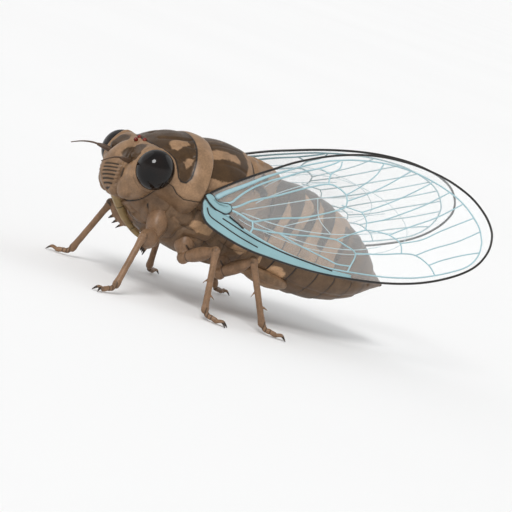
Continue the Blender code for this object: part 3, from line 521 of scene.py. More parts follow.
def loft(rings):
    """A closed form through rings of points, its ends closed to their middles."""
    rings = np.array(rings)
    count, sides = rings.shape[:2]
    index = np.arange(count * sides).reshape(count, sides)
    after = np.roll(index, -1, axis=1)
    quads = np.stack([index[:-1], after[:-1], after[1:], index[1:]], -1).reshape(-1, 4)
    pole = np.full(sides, count * sides)
    tris = [np.stack([after[0], index[0], pole], -1), np.stack([index[-1], after[-1], pole + 1], -1)]
    points = [rings.reshape(-1, 3), rings[:1].mean(1), rings[-1:].mean(1)]
    return np.concatenate(points), quads, np.concatenate(tris)


def join(forms):
    """Several forms as one list of points and faces."""
    starts = np.cumsum([0] + [len(form[0]) for form in forms])
    quads, tris = (np.concatenate([f[k] + start for f, start in zip(forms, starts)]) for k in (1, 2))
    return np.concatenate([form[0] for form in forms]), quads, tris


def triangles(form):
    """Every face as triangles."""
    _, quads, tris = form
    return np.concatenate([tris, quads[:, [0, 1, 2]], quads[:, [0, 2, 3]]])


def gathered(index, rows, count):
    """The sum of the rows that belong to each of several points."""
    return np.stack([np.bincount(index, column, count) for column in rows.T], -1)


def normals_of(form):
    """Unit normals at the points, weighted by the faces' areas and turned outward."""
    points, tris = form[0], triangles(form)
    a, b, c = points[tris.T]
    cross = np.cross(b - a, c - a)
    total = sum(gathered(corner, cross, len(points)) for corner in tris.T)
    if (a * cross).sum() < 0:
        total = -total
    return total / np.maximum(norm(total, axis=1, keepdims=True), TINY)


def relax(form, passes):
    """Evens out a form's small steps without shrinking it."""
    points, quads, tris = form
    edges = np.concatenate([quads[:, [k, (k + 1) % 4]] for k in range(4)])
    here, there = np.concatenate([edges, edges[:, ::-1]]).T
    degree = np.maximum(np.bincount(here, minlength=len(points)), 1)[:, None]
    for share in RELAX_STEPS * passes:
        points = points + share * (gathered(here, points[there], len(points)) / degree - points)
    return points, quads, tris


def push(form, amounts):
    """Moves the points along their normals."""
    return form[0] + normals_of(form) * amounts[:, None], form[1], form[2]


def away(points, place):
    """Distance of every point from a place."""
    return norm(points - place, axis=1)


def path_distance(points, path):
    """Distance of every point from a line of several stretches."""
    path = np.array(path, float)
    nearest = np.full(len(points), np.inf)
    for a, b in zip(path, path[1:]):
        way = b - a
        share = np.clip(((points - a) @ way) / max(way @ way, TINY), 0, 1)[:, None]
        nearest = np.minimum(nearest, norm(points - a - share * way, axis=1))
    return nearest


def round_trip(path):
    """A path that ends where it starts."""
    return np.concatenate([path, path[:1]])


def outline_distance(points, outline):
    """Signed distance of flat points from a closed outline, below zero inside it."""
    loop = round_trip(np.array(outline, float))
    nearest = path_distance(points, loop)
    within = np.zeros(len(points), bool)
    for a, b in zip(loop, loop[1:]):
        crosses = (a[1] > points[:, 1]) != (b[1] > points[:, 1])
        at = a[0] + (points[:, 1] - a[1]) * (b[0] - a[0]) / ((b[1] - a[1]) or TINY)
        within ^= crosses & (points[:, 0] < at)
    return np.where(within, -nearest, nearest)


def fold_over(points):
    """The same points with the right side folded onto the left."""
    return np.column_stack([np.abs(points[:, 0]), points[:, 1:]])


def least(*values):
    """The smallest of several values at every point."""
    return np.minimum.reduce(values)


def groove(points, path, width, depth):
    """Outward shift of points by a groove along a path; a ridge has a depth below zero."""
    return -depth * bell(path_distance(points, path), width)


def carve(points, paths, width, depth):
    """The same for several like grooves."""
    return sum(groove(points, path, width, depth) for path in paths)


def waves(points, size, height):
    """Gentle unevenness of the given size and height."""
    return np.array([noise.noise(Vector(p) / size) for p in points.tolist()]) * height


def add_object(name, data):
    obj = bpy.data.objects.new(name, data)
    bpy.context.scene.collection.objects.link(obj)
    return obj


def add_mesh(name, form):
    """A form as a mesh object of the scene."""
    points, quads, tris = form
    mesh = bpy.data.meshes.new(name)
    mesh.from_pydata(points.tolist(), [], quads.tolist() + tris.tolist())
    return add_object(name, mesh)


def fuse(forms, voxel, passes):
    """One closed surface over several overlapping forms."""
    obj = add_mesh("fused", join(forms))
    cover = obj.modifiers.new("cover", "REMESH")
    cover.mode = "VOXEL"
    cover.voxel_size = voxel
    made = bpy.data.meshes.new_from_object(obj.evaluated_get(bpy.context.evaluated_depsgraph_get()))
    points = np.array([tuple(vertex.co) for vertex in made.vertices])
    quads = np.array([tuple(face.vertices) for face in made.polygons])
    for mesh in (made, obj.data):
        bpy.data.meshes.remove(mesh)
    return relax((points, quads, NO_FACES), passes)


def sweep(rows, sides, squash=None):
    """A round closed form along rows of x, y, z and radius, with rounded ends."""
    rows = np.array(rows, float)
    centre, radius = rows[:, :3], rows[:, 3]
    tangent = np.gradient(centre, axis=0)
    tangent /= norm(tangent, axis=1)[:, None]
    stations = list(zip(centre, radius, tangent))
    for turn in CAP_TURNS:
        out, size = math.sin(turn), math.cos(turn)
        stations.insert(0, (centre[0] - tangent[0] * radius[0] * out, radius[0] * size, tangent[0]))
        stations.append((centre[-1] + tangent[-1] * radius[-1] * out, radius[-1] * size, tangent[-1]))
    across = np.array(Vector(tangent[0]).orthogonal())
    angle = circle(sides)[:, None]
    rings = []
    for place, size, way in stations:
        across = square_to(across, way)
        ring = size * (np.cos(angle) * across + np.sin(angle) * np.cross(way, across))
        if squash:
            toward, share = squash
            ring -= (1 - share) * (ring @ toward)[:, None] * toward
        rings.append(place + ring)
    return loft(rings)


def ball(centre, radii, segments=32, rings=20):
    """A round form, its poles to the left and right."""
    polar = np.linspace(0, math.pi, rings + 1)[1:-1, None]
    turn = circle(segments)
    directions = [np.cos(polar) + 0 * turn, np.sin(polar) * np.cos(turn), np.sin(polar) * np.sin(turn)]
    points, quads, tris = loft(np.array(centre) + np.array(radii) * np.stack(directions, -1))
    points[-2:] = centre + np.array(((radii[0], 0, 0), (-radii[0], 0, 0)))
    return points, quads, tris


def spike(root, tip, radius):
    """A thorn from root to tip, a little curved."""
    middle = (root + tip) / 2 + UP * 0.03
    return sweep(smooth(((*root, radius), (*middle, radius * 0.62), (*tip, radius * 0.12)), 0.12), 10)


def section(values, turn):
    """Places on a torso part's outline at angles from its left side, across and up from its level."""
    width, top, bottom, level = values
    c, s = np.cos(turn), np.sin(turn)
    rise = np.where(s >= 0, top - level, level - bottom)
    power = 2 / SECTION_POWER
    return np.sign(c) * np.abs(c) ** power * width, np.sign(s) * np.abs(s) ** power * rise


def torso(stations, rows, sides, lip):
    """A part of the torso, its ends rolled inward."""
    places = np.linspace(stations[0][0], stations[-1][0], rows)
    values = rows_at(stations, places)
    made = [(place, 0.0, value) for place, value in zip(places, values)]
    bends = [(lip * math.sin(a), lip * (1 - math.cos(a))) for a in LIP_TURNS]
    for end, place, value in ((-1, places[0], values[0]), (1, places[-1], values[-1])):
        for out, inset in bends + [(lip, share * value[0]) for share in LIP_CLOSING]:
            made.insert(0 if end < 0 else len(made), (place + end * out, inset, value))
    rings = []
    for place, inset, value in made:
        width, top, bottom, level = value
        share = max(1 - inset / min(width, top - level, level - bottom), 0.04)
        across, up = section(value, circle(sides))
        rings.append(np.stack([across * share, np.full(sides, place), level + up * share], -1))
    return loft(rings)


def on_torso(stations, rows):
    """Points of a torso part at rows of (distance behind the face, degrees down from the top)."""
    rows = np.array(rows, float)
    values = rows_at(stations, rows[:, 0]).T
    across, up = section(values, np.radians(90 - rows[:, 1]))
    return np.stack([across, rows[:, 0], values[3] + up], -1)


def unroll(points, stations):
    """The points as such rows, which is on_torso turned round."""
    across, along, height = points.T
    width, top, bottom, level = rows_at(stations, along).T
    rise = (height - level) / np.where(height > level, top - level, level - bottom)
    power = SECTION_POWER / 2
    turn = np.arctan2(np.abs(across / width) ** power, np.sign(rise) * np.abs(rise) ** power)
    return np.stack([along, np.degrees(turn)], -1)


def marked(places, outline):
    """Signed distance of unrolled places from an outline, in millimetres on the skin."""
    scale = (1, ARC)
    return outline_distance(places * scale, np.array(outline, float) * scale)


def piece(name, form, material, slot, node=None, on_body=True, **marks):
    """A form as a mesh of the model, with its markings, that stands for a node of the solids."""
    points, quads, tris = form
    placed = (to_world(points) if on_body else points) * MM
    a, b, c = placed[triangles(form).T]
    if (a * np.cross(b, c)).sum() < 0:
        quads, tris = quads[:, ::-1], tris[:, ::-1]
    obj = add_mesh(name, (placed, quads, tris))
    for key in ("dark", "pale", "low", "line"):
        values = marks.get(key, np.full(len(points), UNMARKED)).astype(np.float32)
        obj.data.attributes.new(key, "FLOAT", "POINT").data.foreach_set("value", values)
    obj.data.shade_smooth()
    obj.data.materials.append(material)
    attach(obj, "root")
    if node:
        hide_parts(node)
    return obj


# Materials

def feed(tree, node, values):
    """Sets or links the inputs of a shader node."""
    for key, value in values.items():
        if isinstance(value, bpy.types.NodeSocket):
            tree.links.new(value, node.inputs[key])
        else:
            node.inputs[key].default_value = value


def put(tree, kind, values, output=0, **settings):
    """Adds a shader node and gives one of its outputs."""
    made = tree.nodes.new("ShaderNode" + kind)
    for key, value in settings.items():
        setattr(made, key, value)
    feed(tree, made, values)
    return made.outputs[output]


def start_material(name):
    made = bpy.data.materials.new(name)
    made.use_nodes = True
    tree = made.node_tree
    return made, tree, tree.nodes["Principled BSDF"], put(tree, "TexCoord", {}, "Object")


def blend_colour(tree, share, one, two, **settings):
    one, two = ((*c, 1.0) if isinstance(c, tuple) else c for c in (one, two))
    return put(tree, "Mix", {0: share, 6: one, 7: two}, 2, data_type="RGBA", **settings)


def maths(tree, operation, one, two):
    return put(tree, "Math", {0: one, 1: two}, operation=operation)


def ranged(tree, value, low, high, to_low=0.0, to_high=1.0):
    """A value's range stretched to another one."""
    return put(tree, "MapRange", {
        "Value": value, "From Min": low, "From Max": high, "To Min": to_low, "To Max": to_high,
    })


def grey(tree, tone):
    return put(tree, "CombineColor", {"Red": tone, "Green": tone, "Blue": tone})


def speckle(tree, place, scale, detail=3.0):
    """Noise, its scale in spots a millimetre."""
    return put(tree, "TexNoise", {"Vector": place, "Scale": scale / MM, "Detail": detail}, "Fac")


def cells(tree, place, scale):
    """Distance from the middles of cells, their scale in cells a millimetre."""
    return put(tree, "TexVoronoi", {"Vector": place, "Scale": scale / MM}, "Distance")


def bump(tree, height, strength, reach, **settings):
    return put(tree, "Bump", {"Height": height, "Strength": strength, "Distance": reach * MM}, **settings)


def mask(tree, name, wander, edge):
    """1 inside a marking and 0 outside it, from the distances in the mesh, with an uneven edge."""
    distance = put(tree, "Attribute", {}, "Fac", attribute_name=name)
    return ranged(tree, maths(tree, "ADD", distance, wander), edge, -edge)


def cuticle(name, ground, dark=DARK, pale=PALE, low=FLANK, rough=0.4, pits=0.5, wander=0.5):
    """Satin cuticle: mottled ground, dark and pale markings with uneven edges, ink in seams, pits."""
    made, tree, shader, place = start_material(name)
    fine = speckle(tree, place, 5.2)
    warm = ranged(tree, speckle(tree, place, 0.9), 0.3, 0.7, 0.78, 1.2)
    warm = maths(tree, "MULTIPLY", warm, ranged(tree, fine, 0.3, 0.7, 0.86, 1.12))
    shift = maths(tree, "MULTIPLY", maths(tree, "SUBTRACT", speckle(tree, place, 1.7), 0.5), wander)
    # The low mark gives a second, darker colour; on the head it is painted shade under the eyes
    colour = blend_colour(tree, mask(tree, "low", shift, 0.2), ground, low)
    colour = blend_colour(tree, mask(tree, "dark", shift, 0.07), colour, dark)
    colour = blend_colour(tree, mask(tree, "pale", shift, 0.09), colour, pale)
    colour = blend_colour(tree, 1.0, colour, grey(tree, warm), blend_type="MULTIPLY")
    relief = maths(tree, "MULTIPLY", ranged(tree, cells(tree, place, 7.5), 0.0, 0.35), pits)
    feed(tree, shader, {
        "Base Color": blend_colour(tree, mask(tree, "line", 0.0, 0.05), colour, INK),
        "Roughness": ranged(tree, fine, 0.3, 0.7, rough - 0.07, rough + 0.1),
        "Normal": bump(tree, maths(tree, "ADD", relief, fine), 0.35, 0.03),
        "Specular IOR Level": 0.28, "Coat Weight": 0.05, "Coat Roughness": 0.3,
    })
    return made


def eye_material():
    """Glossy black facets, closely packed."""
    made, tree, shader, place = start_material("compound_eye")
    tone = ranged(tree, speckle(tree, place, 0.7), 0.35, 0.65)
    feed(tree, shader, {
        "Base Color": blend_colour(tree, tone, *EYE_BLACKS),
        "Normal": bump(tree, cells(tree, place, 15.0), 0.1, 0.01, invert=True),
        "Roughness": 0.14, "Specular IOR Level": 0.06, "Coat Weight": 0.45, "Coat Roughness": 0.03,
    })
    return made


def vein_material(name, colour, darker):
    """Hard vein or band, a little uneven in colour along its length."""
    made, tree, shader, place = start_material(name)
    grain = speckle(tree, place, 6.0)
    tone = ranged(tree, speckle(tree, place, 0.42), 0.35, 0.65)
    feed(tree, shader, {
        "Base Color": blend_colour(tree, tone, darker, colour),
        "Normal": bump(tree, grain, 0.25, 0.02),
        "Roughness": ranged(tree, grain, 0.3, 0.7, 0.32, 0.46),
    })
    return made


def membrane_material(name, cover):
    """Clear, faintly blue membrane with a fine crinkle that shows in its shine."""
    made, tree, shader, place = start_material(name)
    tone = ranged(tree, speckle(tree, place, 0.26), 0.3, 0.7)
    feed(tree, shader, {
        "Base Color": blend_colour(tree, tone, *MEMBRANE_TINTS),
        "Normal": bump(tree, speckle(tree, place, 1.5, 4.0), 0.3, 0.06),
        "Alpha": cover, "Roughness": 0.14, "Coat Weight": 0.3, "Coat Roughness": 0.08,
    })
    return made


# Head

def head_form():
    """The broad head, swollen face, ledges over the antennae and cheeks, fused into one skin."""
    c, s = np.cos(circle(HEAD_SIDES)), np.sin(circle(HEAD_SIDES))
    flat = np.ones(HEAD_SIDES)
    places = np.linspace(-HEAD_CAPSULE[-1][0], HEAD_CAPSULE[-1][0], 45)
    capsule = [
        np.stack([flat * x, along + depth * c, height + tall * s], -1)
        for x, (along, height, depth, tall) in zip(places, rows_at(HEAD_CAPSULE, np.abs(places)))
    ]
    heights = np.linspace(CLYPEUS[0][0], CLYPEUS[-1][0], 40)
    face = [
        np.stack([half * s, CLYPEUS_ROOT - np.where(c > 0, reach, CLYPEUS_BACK) * c, flat * height], -1)
        for height, (half, reach) in zip(heights, rows_at(CLYPEUS, heights))
    ]
    forms = [loft(capsule), loft(face)]
    for side in (LEFT, RIGHT):
        forms.append(sweep(smooth(np.array(ANTENNA_LEDGE) * (side, 1, 1, 1), 0.2), 16))
        for centre, radii in CHEEKS:
            forms.append(ball(np.array(centre) * (side, 1, 1), radii))
    return fuse(forms, voxel=0.075, passes=6)


def capsule_distance(folded):
    """Signed distance from the plain form of the head, without its face."""
    back, level, depth, tall = rows_at(HEAD_CAPSULE, folded[:, 0]).T
    return (np.hypot((folded[:, 1] - back) / depth, (folded[:, 2] - level) / tall) - 1) * depth


def make_head():
    """The skin of the head: seams, ribs, dark spots, and painted shade on its sides under the eyes."""
    form = head_form()
    folded = fold_over(form[0])
    across, along, height = folded.T
    capsule = capsule_distance(folded)
    half, reach = rows_at(CLYPEUS, height).T
    face = (np.hypot(across / half, np.maximum(CLYPEUS_ROOT - along, 0) / reach) - 1) * half
    face += np.maximum(CLYPEUS[0][0] - height, 0) + np.maximum(height - CLYPEUS[-1][0], 0)
    on_face = np.clip((capsule - face) / 0.5, 0, 1)
    suture = np.hypot(capsule, face)
    eye = norm((folded - EYE_CENTRE) / EYE_RADII, axis=1)
    shape = sum(rise * bell(eye - place, width) for rise, place, width in EYE_RINGS)
    shape += groove(folded, CROWN_LINE, width=0.14, depth=0.12)
    shape += groove(folded, BROW_LINE, width=0.15, depth=0.1)
    shape -= np.where(height > SUTURE_INK_TOP, 0.09, 0.16) * bell(suture, 0.2)
    lines = suture - 0.07 + np.maximum(height - SUTURE_INK_TOP, 0)
    for start in RIB_LEVELS:
        distance = np.hypot(height - start - RIB_RISE * across, np.maximum(RIB_START - across, 0))
        shape -= 0.13 * on_face * bell(distance, 0.11)
        lines = least(lines, distance - 0.075 + 2 * (1 - on_face))
    form = push(form, shape)
    form = push(form, waves(form[0], size=1.1, height=0.03))
    spot = np.hypot(across - FACE_SPOT[0], height - FACE_SPOT[1]) - FACE_SPOT_RADIUS
    # The low mark paints the head's sides below the cheek line darker: painted shade under the eyes
    piece(
        "head_skin", form, cuticle("head_cuticle", GROUND, low=CHEEK_PAINTED_SHADE), "cuticle", "head",
        dark=spot + np.maximum(along - CLYPEUS_ROOT, 0), line=lines,
        low=height - CHEEK_SHADE_TOP - 0.25 * across - 2 * on_face,
        pale=across + np.maximum(CROWN_FRONT - height, 0) * 3 - 0.22,
    )


def make_eyes():
    """The two large eyes, and the three small ones on top of the head."""
    for side, word in SIDES:
        facets = ball(np.array(EYE_CENTRE) * (side, 1, 1), EYE_RADII, 64, 48)
        piece(f"eye_{word}_facets", facets, EYE, "eye", f"eye_{word}")
    piece("ocelli", join([ball(c, [OCELLUS_RADIUS] * 3, 20, 12) for c in OCELLI]), OCELLUS, "eye")


def make_antennae():
    """A stout base of two joints, then a fine bristle."""
    for side, word in SIDES:
        joints = np.array(ANTENNA) * (side, 1, 1)
        base = np.array((joints[0], joints[1], (joints[1] + joints[2]) / 2))
        form = join([
            sweep(smooth(thick(base, ANTENNA_BASE_RADII), 0.12), 16),
            sweep(smooth(thick(joints[1:], BRISTLE_RADII), 0.2), 10),
        ])
        seam = np.abs(away(form[0], joints[1]) - 0.05) - 0.06
        piece(f"antenna_{word}_bristle", form, DARK_CUTICLE, "cuticle_dark", f"antenna_{word}", line=seam)


def make_rostrum():
    form = sweep(smooth(ROSTRUM, 0.1), 24)
    path = np.array(ROSTRUM)[:, :3] + ROSTRUM_GROOVE
    form = push(form, groove(form[0], path, width=0.16, depth=0.12))
    from_root, from_tip = (away(form[0], ROSTRUM[end][:3]) for end in (0, -1))
    rings = least(*(np.abs(from_root - place) for place in ROSTRUM_RINGS)) - 0.05
    piece("rostrum_beak", form, BEAK, "beak", "rostrum", dark=from_tip - 1.1, line=rings)


# Torso

def make_prothorax():
    """The shield over the front of the body, its collar and side plates, as one skin."""
    shield = torso(PRONOTUM, rows=60, sides=200, lip=0.25)
    collar = torso(COLLAR, rows=30, sides=200, lip=0.14)
    front = torso(PROSTERNUM, rows=40, sides=140, lip=0.3)
    form = fuse([shield, collar, front], voxel=0.085, passes=7)
    folded = fold_over(form[0])
    places = unroll(folded, PRONOTUM)
    disc, foot = marked(places, DISC), marked(places, LOBE_FOOT)
    shape = -0.1 / (1 + np.exp(np.clip(disc / 0.12, -40, 40))) - 0.1 * bell(foot, 0.18)
    shape += carve(folded, [on_torso(PRONOTUM, cut) for cut in DISC_CUTS], width=0.28, depth=0.17)
    shape += groove(folded, DISC_MIDLINE, width=0.18, depth=0.08)
    shape += carve(folded, CHEEK_LINES, width=0.2, depth=0.16)
    shape += carve(folded, [smooth(cut, 0.3) for cut in BREAST_FOLDS], width=0.24, depth=0.2)
    form = push(form, shape + waves(form[0], size=1.3, height=0.05))
    lines = least(
        np.abs(disc) - 0.08,
        np.abs(foot) + np.maximum(FOOT_INK_START - folded[:, 1], 0) - 0.08,
        np.abs(capsule_distance(folded)) - 0.09,
        *(path_distance(folded, cut) - 0.09 for cut in CHEEK_LINES),
    )
    streaks = least(*(marked(places, streak) for streak in DISC_STREAKS))
    piece(
        "prothorax_skin", form, PLATE, "cuticle", "prothorax",
        dark=disc, pale=np.maximum(streaks, disc), line=lines, low=foot,
    )


def make_mesonotum():
    """The dark hump of the back, with the raised cross behind it."""
    form = torso(MESONOTUM, rows=130, sides=280, lip=0.3)
    folded = fold_over(form[0])
    places = unroll(folded, MESONOTUM)
    pit = on_torso(MESONOTUM, [SCUTELLUM_PIT])[0]
    rear = on_torso(MESONOTUM, [(SCUTUM_END + SCUTUM_END_BEND * d * d, d) for d in range(0, 66, 6)])
    shape = waves(form[0], size=2.4, height=0.06)
    shape += groove(folded, smooth(CROSS_ARMS, 0.2), width=0.3, depth=-0.4)
    shape -= PIT_DEPTH * bell(away(folded, pit), PIT_WIDTH)
    shape += groove(folded, rear, width=0.34, depth=0.34)
    for depth, seam in SCUTUM_SEAMS:
        shape += groove(folded, smooth(on_torso(MESONOTUM, seam), 0.4), 0.16, depth)
    streaks = least(marked(places, SCUTUM_STREAK), np.abs(marked(places, SCUTUM_CONE)) - 0.07)
    piece(
        "mesonotum", push(form, shape), PLATE, "cuticle_dark", "mesothorax",
        dark=least(
            marked(places, SCUTUM_DARK), marked(places, SCUTELLUM_SPOT), away(folded, pit) - PIT_SPOT_RADIUS
        ),
        pale=np.maximum(streaks, places[:, 0] - STREAK_END),
        line=least(path_distance(folded, rear) - 0.09, np.abs(places[:, 0] - COLLAR_SEAM) - 0.1),
        low=(SCUTUM_FOOT - places[:, 1]) * ARC,
    )


def make_thorax_side():
    """The plates between the wings and the legs, with their seams and folds."""
    form = torso(PLEURON, rows=110, sides=240, lip=0.35)
    folded = fold_over(form[0])
    cuts = [[(place + shift * lean, d) for shift, d in SEAM_BENDS] for place, lean in SIDE_SEAMS]
    paths = [smooth(on_torso(PLEURON, cut), 0.4) for cut in (*cuts, *SIDE_FOLDS)]
    shape = waves(form[0], size=1.5, height=0.1) + carve(folded, paths, width=0.26, depth=0.2)
    form = push(form, shape + groove(folded, BREAST_MIDLINE, width=0.3, depth=0.2))
    patches = [norm((folded - p) * (0.6, 1.0, 1.25), axis=1) - 0.75 for p in SIDE_PATCHES]
    piece(
        "thorax_side", form, SIDE_PLATE, "cuticle_dark", "mesothorax",
        pale=least(*patches), line=least(*(path_distance(folded, path) for path in paths)) - 0.03,
    )


def in_rings(along, ends):
    """Which ring of the abdomen each place is in, how far back in it, and that ring's length."""
    edges = np.array((ABDOMEN[0][0] - 1.2, *ends, BODY_LENGTH + 1.5))
    ring = np.clip(np.searchsorted(edges, along) - 1, 0, len(edges) - 2)
    length = edges[ring + 1] - edges[ring]
    return ring, (along - edges[ring]) / length, length


def ring_profile(share):
    """How far a ring stands out along its length, in lips: low in front and highest at its hind edge."""
    return 1.3 * ease(share / 0.09) * (0.35 + 0.65 * share) - 0.45


def make_abdomen():
    """Rings that swell to their hind edge and step down behind it, with dark saddles on the back."""
    form = torso(ABDOMEN, rows=230, sides=220, lip=0.15)
    folded = fold_over(form[0])
    along, degrees = unroll(folded, ABDOMEN).T
    swept = along + TERGITE_SLANT * np.sin(np.radians(np.minimum(degrees, 90)))
    swept += TERGITE_SWEEP * (np.minimum(degrees, SWEEP_DEGREES) / SWEEP_DEGREES) ** 2
    ring, share, length = in_rings(swept, TERGITE_ENDS)
    _, under_share, under_length = in_rings(along, STERNITE_ENDS)
    under = degrees > FOLD_DEGREES
    place = np.where(under, under_share, share)
    stand = RING_LIP * np.clip((BODY_LENGTH - along) / 3, 0.25, 1)
    shape = stand * ring_profile(place) + waves(form[0], size=1.2, height=0.03)
    for degree, width, depth in RING_FOLDS:
        fold = on_torso(ABDOMEN, [(at, degree) for at in FOLD_PLACES])
        shape += groove(folded, smooth(fold, 0.5), width, depth)
    begin, full, pale_share, foot_share, first, last = np.array(SADDLES, float)[ring].T
    start = ease((degrees - begin) / (full - begin)) * pale_share
    start += np.clip((degrees - full) / (last - full), 0, 1) * (foot_share - pale_share)
    ahead = (start - share) * length
    over = np.maximum(degrees - last, first - degrees) * ARC
    edge = least(place, 1 - place) * np.where(under, under_length, length)
    piece(
        "abdomen_rings", push(form, shape), RING_PLATE, "cuticle", "abdomen",
        dark=np.hypot(*(np.maximum(d + SADDLE_CORNER, 0) for d in (ahead, over))) - SADDLE_CORNER,
        pale=norm((folded - BELLY_PATCH) * (0.5, 0.75, 1.0), axis=1) - 0.8,
        line=edge - np.where(under, 0.12, 0.085),
        low=(np.where(ring > 4, -20, 96) - degrees) * ARC,
    )


def make_opercula():
    """The two plates that cover a male's drums, below the base of the abdomen."""
    for side, word in SIDES:
        centre = np.array(OPERCULUM_CENTRE) * (side, 1, 1)
        form = ball(centre, OPERCULUM_RADII, 64, 40)
        rim = norm((form[0] - centre)[:, :2] / OPERCULUM_RADII[:2], axis=1)
        ripple = RIPPLE_HEIGHT * np.cos(rim * RIPPLE_RATE) * np.clip(rim * 3 - 1.6, 0, 1)
        form = push(form, ripple + waves(form[0], size=0.9, height=0.04))
        edge = OPERCULUM_RIM - rim
        piece(f"operculum_{word}_plate", form, PLATE, "cuticle", f"operculum_{word}", low=edge)


# Legs

def leg_points(name):
    """A leg's joints in world millimetres; the first two move with the pitch of the body."""
    joints = LEG_JOINTS[name]
    return [to_world(p) for p in joints[:2]] + [np.array(p) + (0, FACE_Y, 0) for p in joints[2:]]


def make_upper_leg(name):
    """Coxa, trochanter and femur, with the spines under a front one."""
    hip, trochanter, knee = leg_points(name)[:3]
    pair = name.split("_")[0]
    coxa, thigh = COXA_RADII[pair], FEMUR_RADII[pair]
    axis = unit(knee - trochanter)
    down = square_to(-UP, axis)
    coxa_rows = between(hip, trochanter, (
        (0.0, coxa * 0.9), (0.3, coxa), (0.62, coxa * 0.93), (0.86, TROCHANTER_RADIUS * 0.86),
        (1.0, TROCHANTER_RADIUS * 0.98),
    ))
    femur_rows = between(trochanter, knee, (
        (0.04, TROCHANTER_RADIUS * 0.8), (0.14, TROCHANTER_RADIUS * 0.84), (0.3, thigh * 0.92), (0.5, thigh),
        (0.68, thigh * 0.9), (0.84, thigh * 0.64), (0.94, KNEE_RADIUS), (1.0, KNEE_RADIUS * 1.02),
    ))
    flat = unit(np.cross(axis, UP))
    forms = [sweep(smooth(coxa_rows, 0.2), 32), sweep(smooth(femur_rows, 0.2), 32, (flat, 0.86))]
    tips = []
    for share, length in FEMUR_SPINES if pair == "front" else ():
        root = trochanter + (knee - trochanter) * share + down * thigh * 0.7
        tips.append(root + unit(down + axis * 0.45) * (thigh * 0.3 + length))
        forms.append(spike(root, tips[-1], 0.24))
    form = fuse(forms, voxel=0.06, passes=5)
    neck = bell(away(form[0], trochanter + axis * 0.62), 0.25)
    form = push(form, waves(form[0], size=0.7, height=0.03) - 0.06 * neck)
    points = form[0]
    seam = np.abs((points - trochanter) @ axis - 0.75) + np.maximum(away(points, trochanter) - 1.4, 0) - 0.05
    dark = away(points, knee) - 0.42
    if tips:
        dark = least(dark, path_distance(points, tips) - 0.62)
    piece(f"{name}_thigh", form, LEG, "leg", f"{name}_upper_leg", False, line=seam, dark=dark)


def make_lower_leg(name):
    """Tibia with its spurs, and a foot of three joints with two claws."""
    knee, heel, toe = leg_points(name)[2:]
    joints = [heel + (toe - heel) * share - UP * dip for share, dip in FOOT_JOINTS]
    foot_rows = []
    for n, (a, b) in enumerate(zip([heel, *joints], [*joints, toe])):
        foot_rows += between(a, b, ((0.1, 0.25), (0.75, 0.31 - 0.01 * n)))
    foot_rows.append((*toe, 0.24))
    forms = [sweep(smooth(between(knee, heel, SHIN_ROWS), 0.2), 24), sweep(smooth(foot_rows, 0.12), 24)]
    forward = unit((toe - heel) * (1, 1, 0))
    sideways = np.cross(UP, forward)
    claws = []
    for turn in (LEFT, RIGHT):
        way = forward * math.cos(CLAW_SPREAD) + sideways * turn * math.sin(CLAW_SPREAD)
        middle = toe + (forward * 0.25 + way * 0.45) * CLAW_LENGTH + UP * 0.16
        tip = toe + (forward * 0.3 + way) * CLAW_LENGTH
        tip[2] = CLAW_TIP_HEIGHT
        forms.append(sweep(smooth(((*toe, 0.2), (*middle, 0.16), (*tip, 0.045)), 0.1), 14))
        claws.append(tip)
    axis = unit(heel - knee)
    outward = unit(np.cross(axis, sideways))
    for share, turn, slant, length in () if name.startswith("front") else SPURS:
        root = knee + (heel - knee) * share
        forms.append(spike(root, root + unit(outward * turn + axis * slant) * length, 0.15))
    form = fuse(forms, voxel=0.05, passes=4)
    form = push(form, waves(form[0], size=0.6, height=0.02))
    points = form[0]
    points[:, 2] = np.maximum(points[:, 2], 0)
    dark = least(*(away(points, claw) for claw in claws)) - 0.62
    seams = [np.abs((points - j) @ forward) + np.maximum(away(points, j) - 0.6, 0) - 0.04 for j in joints]
    line = least(np.abs(away(points, heel) - 0.32) - 0.03, *seams)
    piece(f"{name}_shin", form, LEG, "leg", f"{name}_lower_leg", False, dark=dark, line=line)


# Wings

WING_SPAN = WING_TIP - WING_ROOT
WING_THOUSANDTH = norm(WING_SPAN) / 1000
WING_ALONG = unit(WING_SPAN)
WING_INWARD = square_to(np.array((-1.0, 0.0, 0.0)), WING_ALONG)
WING_ACROSS = WING_INWARD * math.cos(WING_LEAN) + np.cross(WING_ALONG, WING_INWARD) * math.sin(WING_LEAN)
WING_OUT = np.cross(WING_ALONG, WING_ACROSS)


def wing_points(flat, offset, side):
    """Level-body points of the curved wing sheet at flat places in millimetres."""
    bend = np.clip(flat[:, 0] / WING_FLAT_ROOT, 0, 1)
    drop = WING_CAMBER * bend * (flat[:, 1] / WING_HALF_WIDTH) ** 2
    level = WING_ROOT + flat[:, :1] * WING_ALONG + flat[:, 1:] * WING_ACROSS
    return (level + (offset - drop)[:, None] * WING_OUT) * (side, 1, 1)


def flat_path(points, spacing, closed=False):
    """A smooth flat path in millimetres."""
    return smooth(np.array(points) * WING_THOUSANDTH, spacing, closed, 2)


def vein_rows(start, end, points, spacing=0.35):
    """A vein's flat path with its radius."""
    path = flat_path(points, spacing)
    return thick(path, np.linspace(start, end, len(path)))


def vein_form(rows, side, inset=0.0):
    return sweep(thick(wing_points(rows[:, :2], -inset, side), rows[:, 2]), 8)


